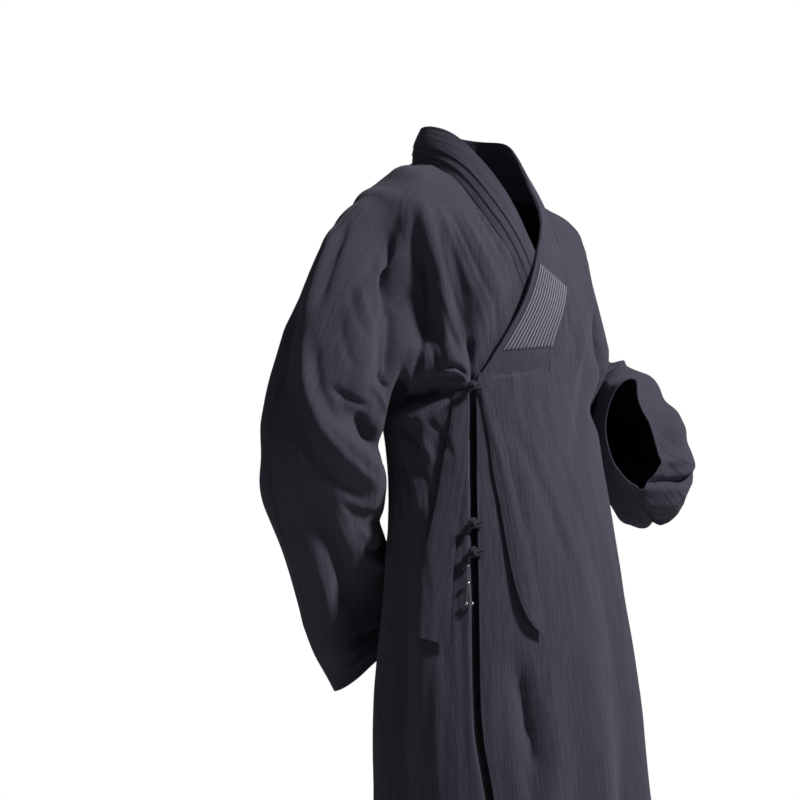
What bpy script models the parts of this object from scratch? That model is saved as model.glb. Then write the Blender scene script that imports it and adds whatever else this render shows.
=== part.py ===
"""A monk's long crossed-collar robe in plain cloth, worn open-hollow as on a standing figure.

Metres, +Z up. The front faces -Y and the wearer's right is -X. The origin is the base of the neck,
where the yoke rests on the shoulders; the hem hangs 1.31 m below it.

The body of the robe is one family of rings. Ring `level` 0 is the neck seam; the rings spread over
the shoulders, pass the armholes and hang to the hem, and `level` is the depth below the origin from
the armpit down. `turn` is the angle round a ring: 0 at the middle front, +90 degrees at the wearer's
left side, 180 at the middle back. Every piece of the body, the collar, the ties and the buttons is
placed on these rings by turn and level, or by the distance across the front and the height.
"""

import bpy
import bmesh
import numpy as np
from mathutils import Vector
from mathutils.bvhtree import BVHTree

# ---- cloth and making ----
WALL = 0.0015          # two plies of linen
COLLAR_PLY = 0.0015
SEAM_GAP = 0.0003
RIBBON_WALL = 0.0012
HEM_LEVEL = 1.31

# ---- armholes ----
SHOULDER_LEVEL = 0.12
ARMPIT_LEVEL = 0.30
ARMHOLE_TURN = np.radians(28)   # half the armhole's width, as an angle
ARMHOLE_ROWS = 16               # rows from the shoulder tip to the armpit
HOLE_MARGIN = 1.005             # the panels' hole is this much larger than the sleeve's end

# ---- grids ----
NECK_ROWS = 14                  # rows from the neck point to the foot of the collar seam
COLLAR_END_ROWS = 19            # row where the front edge leaves the collar's foot
PANEL_ROWS = 36
FRONT_COLUMNS = 14
SHOULDER_COLUMNS = 7            # the back's columns along each shoulder seam
NAPE_COLUMNS = 10
COLLAR_COLUMNS = 2              # across the top ply
SLEEVE_RINGS = 20
SLEEVE_JOIN = 0.4               # share of its length where a sleeve's two lengths of cloth are joined
JOIN_GAP = 0.00025              # each of them stops this far short of the join
SLEEVE_AROUND = 2 * ARMHOLE_ROWS

# ---- how the fronts lap ----
LAP_DEPTH = 0.010               # the under front lies this far inside the over front
SLIT_MARGIN = np.radians(1.8)   # the under front has turned in this far before the over edge
SLIT_TURN_IN = np.radians(1.5)
CHEST_TURN_IN = np.radians(15)
SIDE_GAP_TURN = 0.0011          # half the seam gap as an angle, in radians
BACK_GAP_TURN = 0.0018          # the same at the centre back, where the cloth is nearer the middle

RING_COLUMNS = ("level", "half_width", "front_y", "back_y", "side_y", "side_z", "front_z", "back_z")
RINGS = np.array([
    (0.00, 0.083, -0.060, 0.099, 0.025, -0.004, -0.045, 0.006),
    (0.03, 0.109, -0.076, 0.112, 0.024, -0.014, -0.075, -0.014),
    (0.06, 0.133, -0.091, 0.123, 0.023, -0.025, -0.101, -0.041),
    (0.09, 0.152, -0.102, 0.131, 0.022, -0.038, -0.126, -0.070),
    (0.12, 0.166, -0.109, 0.136, 0.021, -0.055, -0.150, -0.099),
    (0.16, 0.173, -0.114, 0.137, 0.018, -0.107, -0.182, -0.144),
    (0.22, 0.170, -0.118, 0.122, 0.010, -0.200, -0.227, -0.215),
    (0.30, 0.161, -0.126, 0.105, -0.006, -0.300, -0.300, -0.300),
    (0.38, 0.156, -0.140, 0.095, -0.022, -0.380, -0.380, -0.380),
    (0.53, 0.167, -0.168, 0.089, -0.040, -0.530, -0.530, -0.530),
    (0.69, 0.183, -0.193, 0.088, -0.052, -0.690, -0.690, -0.690),
    (0.83, 0.185, -0.209, 0.083, -0.061, -0.830, -0.830, -0.830),
    (1.10, 0.205, -0.236, 0.092, -0.069, -1.100, -1.100, -1.100),
    (1.31, 0.226, -0.256, 0.108, -0.072, -1.310, -1.310, -1.310),
])

# Neck seams of the two fronts, from the neck point down: distance across (+ is the wearer's left), height.
OVER_SEAM = np.array([
    (0.083, -0.037), (0.081, -0.048), (0.078, -0.065), (0.072, -0.083), (0.066, -0.102), (0.060, -0.120),
    (0.051, -0.166), (0.030, -0.207), (0.012, -0.242), (0.002, -0.273),
])
UNDER_SEAM = np.array([
    (-0.083, -0.004), (-0.079, -0.026), (-0.073, -0.047), (-0.063, -0.076), (-0.055, -0.097),
    (-0.044, -0.116), (-0.033, -0.141), (-0.024, -0.167), (0.000, -0.215), (0.018, -0.273),
])
# Free edges of the collar on the fronts, from beside the neck down: x, y, z.
OVER_FREE = np.array([
    (0.066, 0.022, 0.034), (0.061, 0.004, 0.016), (0.056, -0.014, -0.006), (0.051, -0.032, -0.030),
    (0.040, -0.066, -0.064), (0.028, -0.081, -0.083), (0.014, -0.094, -0.101), (0.000, -0.1025, -0.116),
    (-0.014, -0.109, -0.150), (-0.038, -0.113, -0.194), (-0.072, -0.108, -0.243), (-0.096, -0.099, -0.281),
])
UNDER_FREE = np.array([
    (-0.066, 0.022, 0.046), (-0.060, -0.010, 0.036), (-0.052, -0.040, 0.008), (-0.040, -0.066, -0.022),
    (-0.030, -0.080, -0.047), (-0.018, -0.091, -0.078), (-0.002, -0.1025, -0.114), (0.020, -0.111, -0.150),
    (0.046, -0.112, -0.194), (0.075, -0.107, -0.243), (0.096, -0.099, -0.281),
])
# The free edge round the nape: half-width, middle, back and height of its ring.
NAPE_HALF_WIDTH, NAPE_SIDE_Y, NAPE_BACK_Y, NAPE_HEIGHT = 0.066, 0.022, 0.091, 0.047
NAPE_LEFT_DROP = 0.012          # the collar's top is this much lower at the left of the neck
LEFT_DROP = 0.034               # the left shoulder hangs lower than the right
COLLAR_STEP = 0.0105            # each ply of the collar is narrower by this
FLAT_STEP = 0.0010              # and by this on the flat end of the over side, which takes the patch
FLAT_END = 7.0                  # collar station, counted from the over foot, where that end begins
COLLAR_CROWN = 0.003

# Front edges below the collar: level, turn in degrees.
OVER_EDGE = np.array([
    (0.285, -38.0), (0.32, -40.0), (0.40, -44.4), (0.51, -46.9), (0.61, -47.6), (0.72, -47.5), (0.80, -44.5),
    (0.90, -42.0), (1.31, -38.0),
])
UNDER_EDGE = np.array([(0.285, 38.0), (0.40, 38.0), (0.62, 37.0), (1.31, 36.0)])

# Ridges (+) and troughs (-) of the body: turn in degrees and level of both ends, then metres.
CREASE_COLUMNS = ("turn", "level", "end_turn", "end_level", "bend", "depth", "width")
BODY_CREASES = np.array([
    # armholes, front and back
    (-58.0, 0.120, -62.0, 0.315, 0.004, -0.0159, 0.024),
    (57.0, 0.110, 64.0, 0.320, 0.004, -0.013, 0.024),
    (-120.0, 0.110, -112.0, 0.330, 0.000, -0.013, 0.026),
    (118.0, 0.120, 113.0, 0.320, 0.000, -0.0116, 0.024),
    # the right front blouses over the closure, and less so the left and the back
    (-34.0, 0.268, -88.0, 0.262, -0.004, 0.0188, 0.022),
    (-36.0, 0.296, -104.0, 0.316, -0.006, -0.0159, 0.016),
    (30.0, 0.285, 92.0, 0.262, 0.000, 0.0087, 0.024),
    (24.0, 0.330, 100.0, 0.310, 0.000, -0.0087, 0.022),
    (-160.0, 0.300, -102.0, 0.275, 0.000, 0.0101, 0.026),
    (120.0, 0.290, 178.0, 0.320, 0.000, 0.0087, 0.026),
    # pulls from the shoulders to the closure
    (-66.0, 0.060, -46.0, 0.270, 0.006, 0.0087, 0.017),
    (-44.0, 0.090, -42.0, 0.272, 0.003, -0.0072, 0.014),
    (-20.0, 0.120, -38.0, 0.270, -0.004, 0.0072, 0.016),
    (52.0, 0.090, 6.0, 0.300, 0.010, 0.0058, 0.019),
    (38.0, 0.230, 4.0, 0.420, 0.006, -0.0058, 0.017),
    # across and down the back
    (150.0, 0.060, 132.0, 0.320, 0.010, -0.0101, 0.024),
    (-152.0, 0.070, -134.0, 0.330, -0.010, -0.0101, 0.024),
    (176.0, 0.100, 170.0, 0.700, 0.006, -0.0087, 0.026),
    (196.0, 0.260, 204.0, 0.900, 0.000, 0.0087, 0.026),
    # long falls of the skirt
    (-74.0, 0.330, -80.0, 0.760, 0.008, 0.0087, 0.022),
    (-94.0, 0.360, -98.0, 1.500, 0.010, -0.0145, 0.026),
    (-112.0, 0.420, -114.0, 1.600, -0.008, 0.0145, 0.031),
    (-60.0, 0.640, -62.0, 1.900, 0.006, 0.013, 0.031),
    (-72.0, 0.780, -76.0, 1.900, 0.000, -0.013, 0.026),
    (-31.0, 0.600, -25.0, 0.820, 0.002, -0.0116, 0.017),
    (-22.0, 0.520, -19.0, 1.500, 0.004, 0.0101, 0.022),
    (-33.0, 0.820, -30.0, 2.000, 0.000, 0.0116, 0.026),
    (-12.0, 0.700, -8.0, 1.900, 0.000, -0.0145, 0.026),
    (4.0, 0.420, 6.0, 1.600, 0.006, 0.0116, 0.029),
    (20.0, 0.500, 19.0, 1.900, -0.004, -0.0145, 0.026),
    (37.0, 0.360, 38.0, 1.700, 0.004, 0.0116, 0.029),
    (55.0, 0.520, 57.0, 1.900, 0.006, -0.0145, 0.026),
    (74.0, 0.380, 78.0, 1.700, 0.000, 0.0116, 0.029),
    (96.0, 0.440, 97.0, 1.900, -0.006, -0.0159, 0.029),
    (117.0, 0.380, 120.0, 1.700, 0.006, 0.013, 0.031),
    (139.0, 0.460, 141.0, 1.900, 0.000, -0.0159, 0.029),
    (160.0, 0.420, 160.0, 1.700, 0.006, 0.013, 0.031),
    (180.0, 0.560, 181.0, 1.900, 0.000, -0.0145, 0.031),
    (-134.0, 0.440, -137.0, 1.800, 0.006, -0.0145, 0.029),
    (-157.0, 0.520, -158.0, 1.900, 0.000, 0.013, 0.031),
])
RADIUS = 0.16                   # metres of cloth to a radian, for measuring creases on the body

# Sleeve rings: share of the sleeve's length, centre, then the vectors to the outer and the front side.
SLEEVE_COLUMNS = ("share", "x", "y", "z", "outer_x", "outer_y", "outer_z", "front_x", "front_y", "front_z")
RIGHT_SLEEVE = np.array([
    (0.00, -0.164, 0.014, -0.182, 0.000, 0.002, 0.118, 0.000, -0.066, 0.000),
    (0.12, -0.194, 0.018, -0.196, -0.028, 0.004, 0.084, 0.004, -0.070, 0.004),
    (0.26, -0.216, 0.026, -0.254, -0.052, 0.004, 0.044, 0.004, -0.074, 0.006),
    (0.40, -0.234, 0.036, -0.322, -0.073, 0.000, 0.016, 0.000, -0.077, 0.006),
    (0.54, -0.239, 0.044, -0.392, -0.077, -0.002, -0.010, 0.000, -0.080, 0.008),
    (0.68, -0.198, 0.070, -0.472, -0.068, -0.014, -0.034, 0.012, -0.068, -0.006),
    (0.84, -0.130, 0.120, -0.562, -0.079, -0.029, -0.052, 0.018, -0.043, 0.000),
    (1.00, -0.054, 0.145, -0.640, -0.097, -0.028, -0.050, 0.002, -0.036, 0.012),
])
LEFT_SLEEVE = np.array([
    (0.00, 0.164, 0.014, -0.200, 0.000, 0.002, 0.106, 0.000, -0.066, 0.000),
    (0.16, 0.180, 0.036, -0.205, 0.018, 0.004, 0.088, 0.002, -0.062, 0.000),
    (0.34, 0.205, 0.048, -0.265, 0.046, 0.010, 0.046, 0.000, -0.062, 0.012),
    (0.54, 0.250, 0.040, -0.322, 0.058, 0.028, 0.020, -0.020, -0.052, 0.064),
    (0.72, 0.270, -0.004, -0.370, 0.060, -0.014, -0.014, -0.020, -0.020, 0.104),
    (0.86, 0.240, -0.056, -0.380, 0.052, -0.042, -0.018, -0.010, -0.008, 0.105),
    (1.00, 0.192, -0.092, -0.352, 0.032, -0.026, -0.006, -0.008, -0.008, 0.072),
])
# Creases of the sleeves: share of the way round (0 outer side, 0.25 front, 0.5 inner, 0.75 back) and of
# the length at both ends, then metres.
SLEEVE_CREASE_COLUMNS = ("around", "share", "end_around", "end_share", "bend", "depth", "width")
RIGHT_SLEEVE_CREASES = np.array([
    (0.06, -0.10, 0.34, 0.40, 0.006, -0.0188, 0.023),
    (-0.04, 0.00, 0.07, 0.42, 0.000, 0.0116, 0.028),
    (0.04, 0.34, 0.40, 0.68, 0.012, 0.013, 0.023),
    (0.10, 0.37, 0.44, 0.53, -0.010, -0.0188, 0.023),
    (0.14, 0.62, 0.44, 0.75, 0.000, -0.0116, 0.016),
    (0.02, 0.50, 0.22, 0.98, 0.010, -0.0116, 0.023),
    (-0.06, 0.46, 0.10, 1.10, 0.010, 0.0101, 0.025),
    (-0.22, 0.20, -0.08, 0.60, 0.010, -0.0116, 0.025),
    (-0.34, 0.42, -0.10, 0.86, 0.010, -0.0145, 0.025),
    (-0.46, 0.50, -0.24, 0.72, 0.000, 0.0116, 0.023),
    (-0.30, 0.74, -0.20, 1.20, 0.000, 0.0101, 0.023),
])
LEFT_SLEEVE_CREASES = np.array([
    (0.08, -0.10, 0.32, 0.40, 0.006, -0.0143, 0.023),
    (-0.30, 1.12, 0.06, 0.80, 0.000, 0.0117, 0.017),
    (-0.40, 1.05, -0.04, 0.66, 0.000, -0.013, 0.021),
    (0.05, 0.42, 0.36, 0.62, 0.010, -0.013, 0.021),
    (0.00, 0.56, 0.22, 0.86, 0.006, 0.0104, 0.021),
    (0.14, 0.66, 0.20, 1.06, 0.000, -0.0091, 0.018),
    (-0.26, 0.26, -0.06, 0.60, 0.010, -0.013, 0.025),
    (-0.16, 0.40, 0.02, 0.80, 0.006, 0.0104, 0.023),
    (-0.46, 0.40, -0.26, 0.74, 0.000, -0.0117, 0.023),
])
SLEEVE_GIRTH, SLEEVE_LENGTH = 0.48, 0.60   # metres of cloth, for measuring creases on a sleeve

# ---- ties: the right edge and the left edge of each ribbon, seen from the front ----
TIE_COLUMNS = ("turn", "level", "other_turn", "other_level")
TIE_RIGHT = np.array([
    (-51.5, 0.309, -42.6, 0.309), (-54.0, 0.332, -44.4, 0.332), (-59.0, 0.366, -47.4, 0.366),
    (-63.0, 0.398, -50.2, 0.398), (-69.5, 0.466, -57.0, 0.466), (-76.5, 0.537, -61.0, 0.541),
    (-80.0, 0.600, -63.5, 0.612),
])
TIE_LEFT = np.array([
    (-37.6, 0.297, -34.6, 0.297), (-37.0, 0.326, -31.5, 0.326), (-36.6, 0.366, -29.0, 0.366),
    (-36.4, 0.398, -27.6, 0.398), (-34.5, 0.444, -25.6, 0.444), (-32.8, 0.498, -22.8, 0.498),
    (-30.6, 0.544, -20.4, 0.544), (-27.6, 0.574, -19.2, 0.580), (-25.0, 0.589, -19.4, 0.602),
])
TIE_ROWS = 13
TIE_LIFT = (0.0022, 0.0060)     # the ribbon's outer face above the panel, at its head and at its foot
LEAST_GAP = 0.0014              # least space left under a ribbon or a cord that lies on a panel

# ---- knot buttons and their loops ----
KNOTS = np.array([(-41.0, 0.2925), (-48.6, 0.4640), (-49.2, 0.4990)])    # turn in degrees, level
KNOT_RADII = (0.0062, 0.0070, 0.0070)
KNOT_LIFT, LOOP_LIFT = 0.0125, 0.0032
KNOT_AROUND, KNOT_RINGS = 12, 8
LOOP_RADIUS = 0.0016
LOOP_POINTS, LOOP_ROWS, LOOP_SIDES = 10, 14, 5
LOOP_TAIL = np.radians(4.6)     # how far the loop's ends run on to the over front
LOOP_EASE = 0.007               # length of cord over which it climbs on to the panel

# ---- the quilted patch on the collar's over end ----
QUILT_FROM = (1.45, 1.35)       # collar stations of the patch's foot, at its outer side and its free side
QUILT_TO = (5.35, 6.00)         # and of its head
QUILT_SHARES = (0.02, 0.92)     # of the way from the top ply's outer edge to the free edge
QUILT_ROWS = 14
QUILT_BASE, QUILT_RIDGE, QUILT_GAP = 0.0010, 0.0010, 0.0017


def smooth(at, stations, values):
    """Hermite curve through the rows, whose slope at a row is the mean of the chords beside it."""
    at = np.asarray(at, float)
    stations = np.asarray(stations, float)
    values = np.asarray(values, float)
    chords = np.diff(values, axis=0) / np.diff(stations).reshape(-1, *[1] * (values.ndim - 1))
    slopes = np.concatenate([chords[:1], (chords[1:] + chords[:-1]) / 2, chords[-1:]])
    index = np.clip(np.searchsorted(stations, at, side="right") - 1, 0, len(stations) - 2)
    span = stations[index + 1] - stations[index]
    t = (at - stations[index]) / span
    shape = at.shape + (1,) * (values.ndim - 1)
    t, span = t.reshape(shape), span.reshape(shape)
    return (
        (2 * t**3 - 3 * t**2 + 1) * values[index]
        + (t**3 - 2 * t**2 + t) * span * slopes[index]
        + (3 * t**2 - 2 * t**3) * values[index + 1]
        + (t**3 - t**2) * span * slopes[index + 1]
    )


def ease(value):
    """0 below 0, 1 above 1, and a smooth step between."""
    value = np.clip(value, 0, 1)
    return value * value * (3 - 2 * value)


def unit(vectors):
    return vectors / np.linalg.norm(vectors, axis=-1, keepdims=True)


def form(turn, level):
    """Point of the plain body form: an ellipse-like ring whose height changes as the square of the
    cosine of the turn, from its side height to its front or back height."""
    ring = smooth(level, RINGS[:, 0], RINGS[:, 1:])
    half_width, front_y, back_y, side_y, side_z, front_z, back_z = np.moveaxis(ring, -1, 0)
    facing = np.cos(turn)
    end_y = np.where(facing > 0, front_y, back_y)
    end_z = np.where(facing > 0, front_z, back_z)
    across = half_width * np.sin(turn)
    return np.stack([
        across,
        side_y + (end_y - side_y) * np.abs(facing),
        side_z + (end_z - side_z) * facing**2 - left_drop(across, level),
    ], -1)


def left_drop(across, level):
    """How far the left shoulder hangs below the right: it grows out to the neck's side and is gone
    by the armpits."""
    return LEFT_DROP * ease(across / 0.09) * (1 - ease((level - 0.10) / 0.18))


def creases(across, along, table):
    """Sum of the table's soft ridges (+) and troughs (-). Each is a bell across its own line, which may
    bend, and it fades out over the last third at each end."""
    total = np.zeros(np.broadcast(across, along).shape)
    for start_x, start_y, end_x, end_y, bend, depth, width in table:
        chord = np.array([end_x - start_x, end_y - start_y])
        length = np.hypot(*chord)
        dx, dy = across - start_x, along - start_y
        share = (dx * chord[0] + dy * chord[1]) / length**2
        aside = (dx * chord[1] - dy * chord[0]) / length - bend * 4 * share * (1 - share)
        fade = ease(np.minimum(share, 1 - share) * 3)
        total = total + depth * np.exp(-((aside / width) ** 2)) * fade
    return total


def body_creases(turn, level):
    """Creases of the body; the table's turns are met from either side of the back."""
    table = BODY_CREASES.copy()
    table[:, [0, 2]] = np.radians(table[:, [0, 2]]) * RADIUS
    total = 0.0
    for circle in (-2 * np.pi, 0.0, 2 * np.pi):
        total = total + creases((turn + circle) * RADIUS, level, table)
    return total


def sleeve_creases(around, share, table):
    """Creases of a sleeve, none at the armhole, where the sleeve takes the body's."""
    table = table.copy()
    table[:, [0, 2]] *= SLEEVE_GIRTH
    table[:, [1, 3]] *= SLEEVE_LENGTH
    total = 0.0
    for circle in (-1.0, 0.0, 1.0):
        total = total + creases((around + circle) * SLEEVE_GIRTH, share * SLEEVE_LENGTH, table)
    return total * ease(share / 0.12)


def surface_normals(surface, u, v, step=1e-4):
    """Normals of surface(u, v), from small steps both ways, as (change along u) x (change along v)."""
    along_u = surface(u + step, v) - surface(u - step, v)
    along_v = surface(u, v + step) - surface(u, v - step)
    return unit(np.cross(along_u, along_v))


def body_point(turn, level, lift=0.0):
    """Point of the creased body, moved out from the plain form by the creases and by lift."""
    turn = np.asarray(turn, float)
    level = np.asarray(level, float)
    outward = -surface_normals(form, turn, np.clip(level, 2e-4, None))
    out = body_creases(turn, level) + lift
    return form(turn, level) + outward * np.asarray(out)[..., None]


def place(across, height):
    """Turn and level of the front's point that lies `across` from the middle, at `height`. With the
    distance across kept, height falls steadily with level, so it is read back from a run of levels."""
    levels = np.linspace(0, HEM_LEVEL, 1600)
    ring = smooth(levels, RINGS[:, 0], RINGS[:, 1:])
    found = []
    for x, z in np.column_stack([np.ravel(across), np.ravel(height)]):
        sine = np.clip(x / ring[:, 0], -1, 1)
        heights = ring[:, 4] + (ring[:, 5] - ring[:, 4]) * (1 - sine**2)
        heights = heights - left_drop(ring[:, 0] * sine, levels)
        level = np.interp(-z, -heights, levels)
        found.append((np.arcsin(np.interp(level, levels, sine)), level))
    return np.array(found).T


def seam_line(rows):
    """(turn, level) of each neck-seam row, from the neck point down to the foot of the collar."""
    turn, level = place(rows[:, 0], rows[:, 1])
    turn[0], level[0] = np.copysign(np.pi / 2, rows[0, 0]), 0.0
    distance = np.concatenate([[0], np.cumsum(np.linalg.norm(np.diff(form(turn, level), axis=0), axis=1))])
    share = distance / distance[-1]
    at = np.linspace(0, 1, NECK_ROWS + 1)
    return smooth(at, share, turn), smooth(at, share, level)


def edge_turn(edge, level):
    """Turn of a front's own edge below the collar."""
    return np.radians(smooth(level, edge[:, 0], edge[:, 1]))


def over_reach(level):
    """Turn of the over front's free edge at each level: the collar's edge, then the front edge."""
    turn, at = place(OVER_FREE[4:, 0], OVER_FREE[4:, 2])
    levels = np.concatenate([[0.0], at, OVER_EDGE[1:, 0]])
    turns = np.concatenate([[np.pi / 2], turn, np.radians(OVER_EDGE[1:, 1])])
    return np.interp(level, levels, turns)


def under_lift(turn, level):
    """How far the under layers turn in as they pass below the over front: a long slope on the chest,
    a short sharp one beside the slit below the buttons."""
    turn_in = SLIT_TURN_IN + (CHEST_TURN_IN - SLIT_TURN_IN) * (1 - ease((level - 0.24) / 0.05))
    start = over_reach(level) - SLIT_MARGIN - turn_in
    return -LAP_DEPTH * ease((turn - start) / turn_in)


def armhole(around, side, scale=1.0):
    """(turn, level) of the armhole's outline: an ellipse that starts at the shoulder tip (around = 0),
    runs down the front to the armpit (0.5) and back up behind. side is +1 left, -1 right."""
    angle = 2 * np.pi * np.asarray(around, float)
    middle = (SHOULDER_LEVEL + ARMPIT_LEVEL) / 2
    half = (ARMPIT_LEVEL - SHOULDER_LEVEL) / 2
    turn = np.pi / 2 - ARMHOLE_TURN * scale * np.sin(angle)
    return side * turn, middle - half * scale * np.cos(angle)


def side_levels(rows):
    """Levels down the side seam: short steps below the armpit, longer ones towards the hem."""
    share = np.linspace(0, 1, rows + 1)[1:]
    top = ARMPIT_LEVEL + (ARMPIT_LEVEL - SHOULDER_LEVEL) / 2 * (HOLE_MARGIN - 1)
    return top + (HEM_LEVEL - top) * (0.55 * share + 0.45 * share**2)


def outer_line(side, behind=False):
    """(turn, level) down a panel's outer edge: the armhole, then the side seam."""
    around = np.arange(ARMHOLE_ROWS + 1) / SLEEVE_AROUND
    turn, level = armhole(-around if behind else around, side, HOLE_MARGIN)
    below = side_levels(PANEL_ROWS - ARMHOLE_ROWS)
    gap = SIDE_GAP_TURN if behind else -SIDE_GAP_TURN
    turn[0] = turn[-1] = side * (np.pi / 2 + gap)
    return np.append(turn, np.full(len(below), side * (np.pi / 2 + gap))), np.append(level, below)


def front_inner_line(seam_rows, edge, side):
    """(turn, level) down a front's inner edge: the neck seam, the foot of the collar, the front edge."""
    turn, level = seam_line(seam_rows)
    turn[0] = side * (np.pi / 2 - SIDE_GAP_TURN)
    foot = COLLAR_END_ROWS - NECK_ROWS
    share = np.arange(1, foot + 1) / foot
    end_turn, end_level = edge_turn(edge, edge[0, 0]), edge[0, 0]
    turn = np.append(turn, turn[-1] + (end_turn - turn[-1]) * share)
    level = np.append(level, level[-1] + (end_level - level[-1]) * share)
    share = np.linspace(0, 1, PANEL_ROWS - COLLAR_END_ROWS + 1)[1:]
    below = end_level + (HEM_LEVEL - end_level) * (0.7 * share + 0.3 * share**2)
    return np.append(turn, edge_turn(edge, below)), np.append(level, below)


def front_grid(side):
    """(turn, level) grids of a front, straight in turn and level from the inner edge to the outer."""
    seam, edge = (OVER_SEAM, OVER_EDGE) if side > 0 else (UNDER_SEAM, UNDER_EDGE)
    inner_turn, inner_level = front_inner_line(seam, edge, side)
    outer_turn, outer_level = outer_line(side)
    share = np.linspace(0, 1, FRONT_COLUMNS + 1)[None, :]
    if side < 0:
        share = slit_shares(inner_turn, inner_level, outer_turn, share[0])
    turn = inner_turn[:, None] * (1 - share) + outer_turn[:, None] * share
    level = inner_level[:, None] * (1 - share) + outer_level[:, None] * share
    return turn, level


def slit_shares(inner_turn, inner_level, outer_turn, plain):
    """Column shares of the under front: below the collar two columns follow the turned-in fold beside
    the slit, and on the chest they go back to even steps."""
    foot = over_reach(inner_level) - SLIT_MARGIN
    across = outer_turn - inner_turn
    rows = np.arange(PANEL_ROWS + 1)
    follow = ease((rows - 12) / (COLLAR_END_ROWS - 12))
    shares = np.repeat(plain[None, :], len(rows), axis=0)
    half = FRONT_COLUMNS // 2
    for row in np.flatnonzero(follow):
        low = (foot[row] - inner_turn[row]) / across[row]
        high = (foot[row] - SLIT_TURN_IN - inner_turn[row]) / across[row]
        steps = np.interp(plain, [0, (half - 1) / FRONT_COLUMNS, half / FRONT_COLUMNS, 1], [0, low, high, 1])
        shares[row] += follow[row] * (steps - plain)
    return shares


def back_top_line():
    """(turn, level) along the back's top edge: left shoulder seam, nape, right shoulder seam."""
    left = np.pi / 2 + SIDE_GAP_TURN
    tip = armhole(0.0, 1, HOLE_MARGIN)[1]
    shoulder = tip * (1 - np.arange(SHOULDER_COLUMNS) / SHOULDER_COLUMNS)
    nape = np.linspace(left, 2 * np.pi - left, NAPE_COLUMNS + 1)
    ends = np.full(SHOULDER_COLUMNS, left)
    turn = np.concatenate([ends, nape, 2 * np.pi - ends])
    level = np.concatenate([shoulder, np.zeros(NAPE_COLUMNS + 1), shoulder[::-1]])
    return turn, level


def back_grid():
    """(turn, level) grids of the back, both halves. Its top edge bends round the neck, and that bend
    fades out down to the armpits."""
    top_turn, top_level = back_top_line()
    left_turn, left_level = outer_line(1, behind=True)
    share = np.linspace(0, 1, len(top_turn))
    turn = left_turn[:, None] * (1 - share) + (2 * np.pi - left_turn[:, None]) * share
    level = np.repeat(left_level[:, None], len(share), axis=1)
    fade = np.clip(1 - np.arange(PANEL_ROWS + 1) / (ARMHOLE_ROWS + 4), 0, 1)[:, None] ** 1.6
    return turn + fade * (top_turn - turn[0]), level + fade * (top_level - level[0])


def material(name, colour, roughness):
    made = bpy.data.materials.new(name)
    made.use_nodes = True
    shader = made.node_tree.nodes["Principled BSDF"]
    shader.inputs["Base Color"].default_value = (*colour, 1.0)
    shader.inputs["Roughness"].default_value = roughness
    made.diffuse_color = (*colour, 1.0)
    return made


def wall(name, outer, normals, thickness, finish, round_closed=False):
    """Closed solid between a grid of outer points and the same points moved in along the normals.
    Rows run down the first axis. With round_closed the columns close into a tube."""
    rows, columns = outer.shape[:2]
    depth = np.broadcast_to(thickness, outer.shape[:2])[..., None]
    points = np.concatenate([outer.reshape(-1, 3), (outer - normals * depth).reshape(-1, 3)])
    index = np.arange(rows * columns).reshape(rows, columns)
    if round_closed:
        index = np.concatenate([index, index[:, :1]], axis=1)
    inside = index + rows * columns
    a, b, c, d = index[:-1, :-1], index[:-1, 1:], index[1:, 1:], index[1:, :-1]
    faces = [np.stack([a, d, c, b], -1).reshape(-1, 4)]
    a, b, c, d = inside[:-1, :-1], inside[:-1, 1:], inside[1:, 1:], inside[1:, :-1]
    faces.append(np.stack([a, b, c, d], -1).reshape(-1, 4))
    rims = [(index[0], inside[0]), (index[-1, ::-1], inside[-1, ::-1])]
    if not round_closed:
        rims += [(index[::-1, 0], inside[::-1, 0]), (index[:, -1], inside[:, -1])]
    for edge, below in rims:
        faces.append(np.stack([edge[:-1], edge[1:], below[1:], below[:-1]], -1))
    return add_mesh(name, points, np.concatenate(faces).tolist(), finish)


def add_mesh(name, points, faces, finish):
    mesh = bpy.data.meshes.new(name)
    mesh.from_pydata(points.tolist(), [], faces)
    work = bmesh.new()
    work.from_mesh(mesh)
    bmesh.ops.recalc_face_normals(work, faces=work.faces)
    work.to_mesh(mesh)
    work.free()
    mesh.shade_smooth()
    mesh.set_sharp_from_angle(angle=np.radians(50))
    mesh.materials.append(finish)
    piece = bpy.data.objects.new(name, mesh)
    bpy.data.collections["monk_robe"].objects.link(piece)
    return piece


def body_panel(name, turn, level, lift, finish):
    """Panel of the body: the creased form over a grid of turns and levels."""
    def surface(t, lv):
        return body_point(t, lv, lift(t, lv))
    normals = -surface_normals(surface, turn, np.clip(level, 2e-4, None))
    return wall(name, surface(turn, level), normals, WALL, finish)


def back_half(side):
    """(turn, level) grids of one half of the back, from its side seam to the centre seam or from there."""
    turn, level = back_grid()
    middle = turn.shape[1] // 2
    columns = slice(None, middle + 1) if side > 0 else slice(middle, None)
    turn, level = turn[:, columns].copy(), level[:, columns]
    turn[:, -1 if side > 0 else 0] -= side * BACK_GAP_TURN
    return turn, level


def no_lift(turn, level):
    return np.zeros(np.broadcast(turn, level).shape)


def sleeve_form(around, share, rings, side):
    """Point of a sleeve's plain form: round its rings, with the armhole's own outline at the body end."""
    row = smooth(share, rings[:, 0], rings[:, 1:])
    centre, outer, front = row[..., 0:3], row[..., 3:6], row[..., 6:9]
    angle = (2 * np.pi * around)[..., None]
    plain = centre + outer * np.cos(angle) + front * np.sin(angle)
    first = rings[0, 1:]
    start = first[0:3] + first[3:6] * np.cos(angle) + first[6:9] * np.sin(angle)
    edge = body_point(*armhole(around, side))
    return plain + (edge - start) * (1 - ease(share / 0.35))[..., None]


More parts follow.
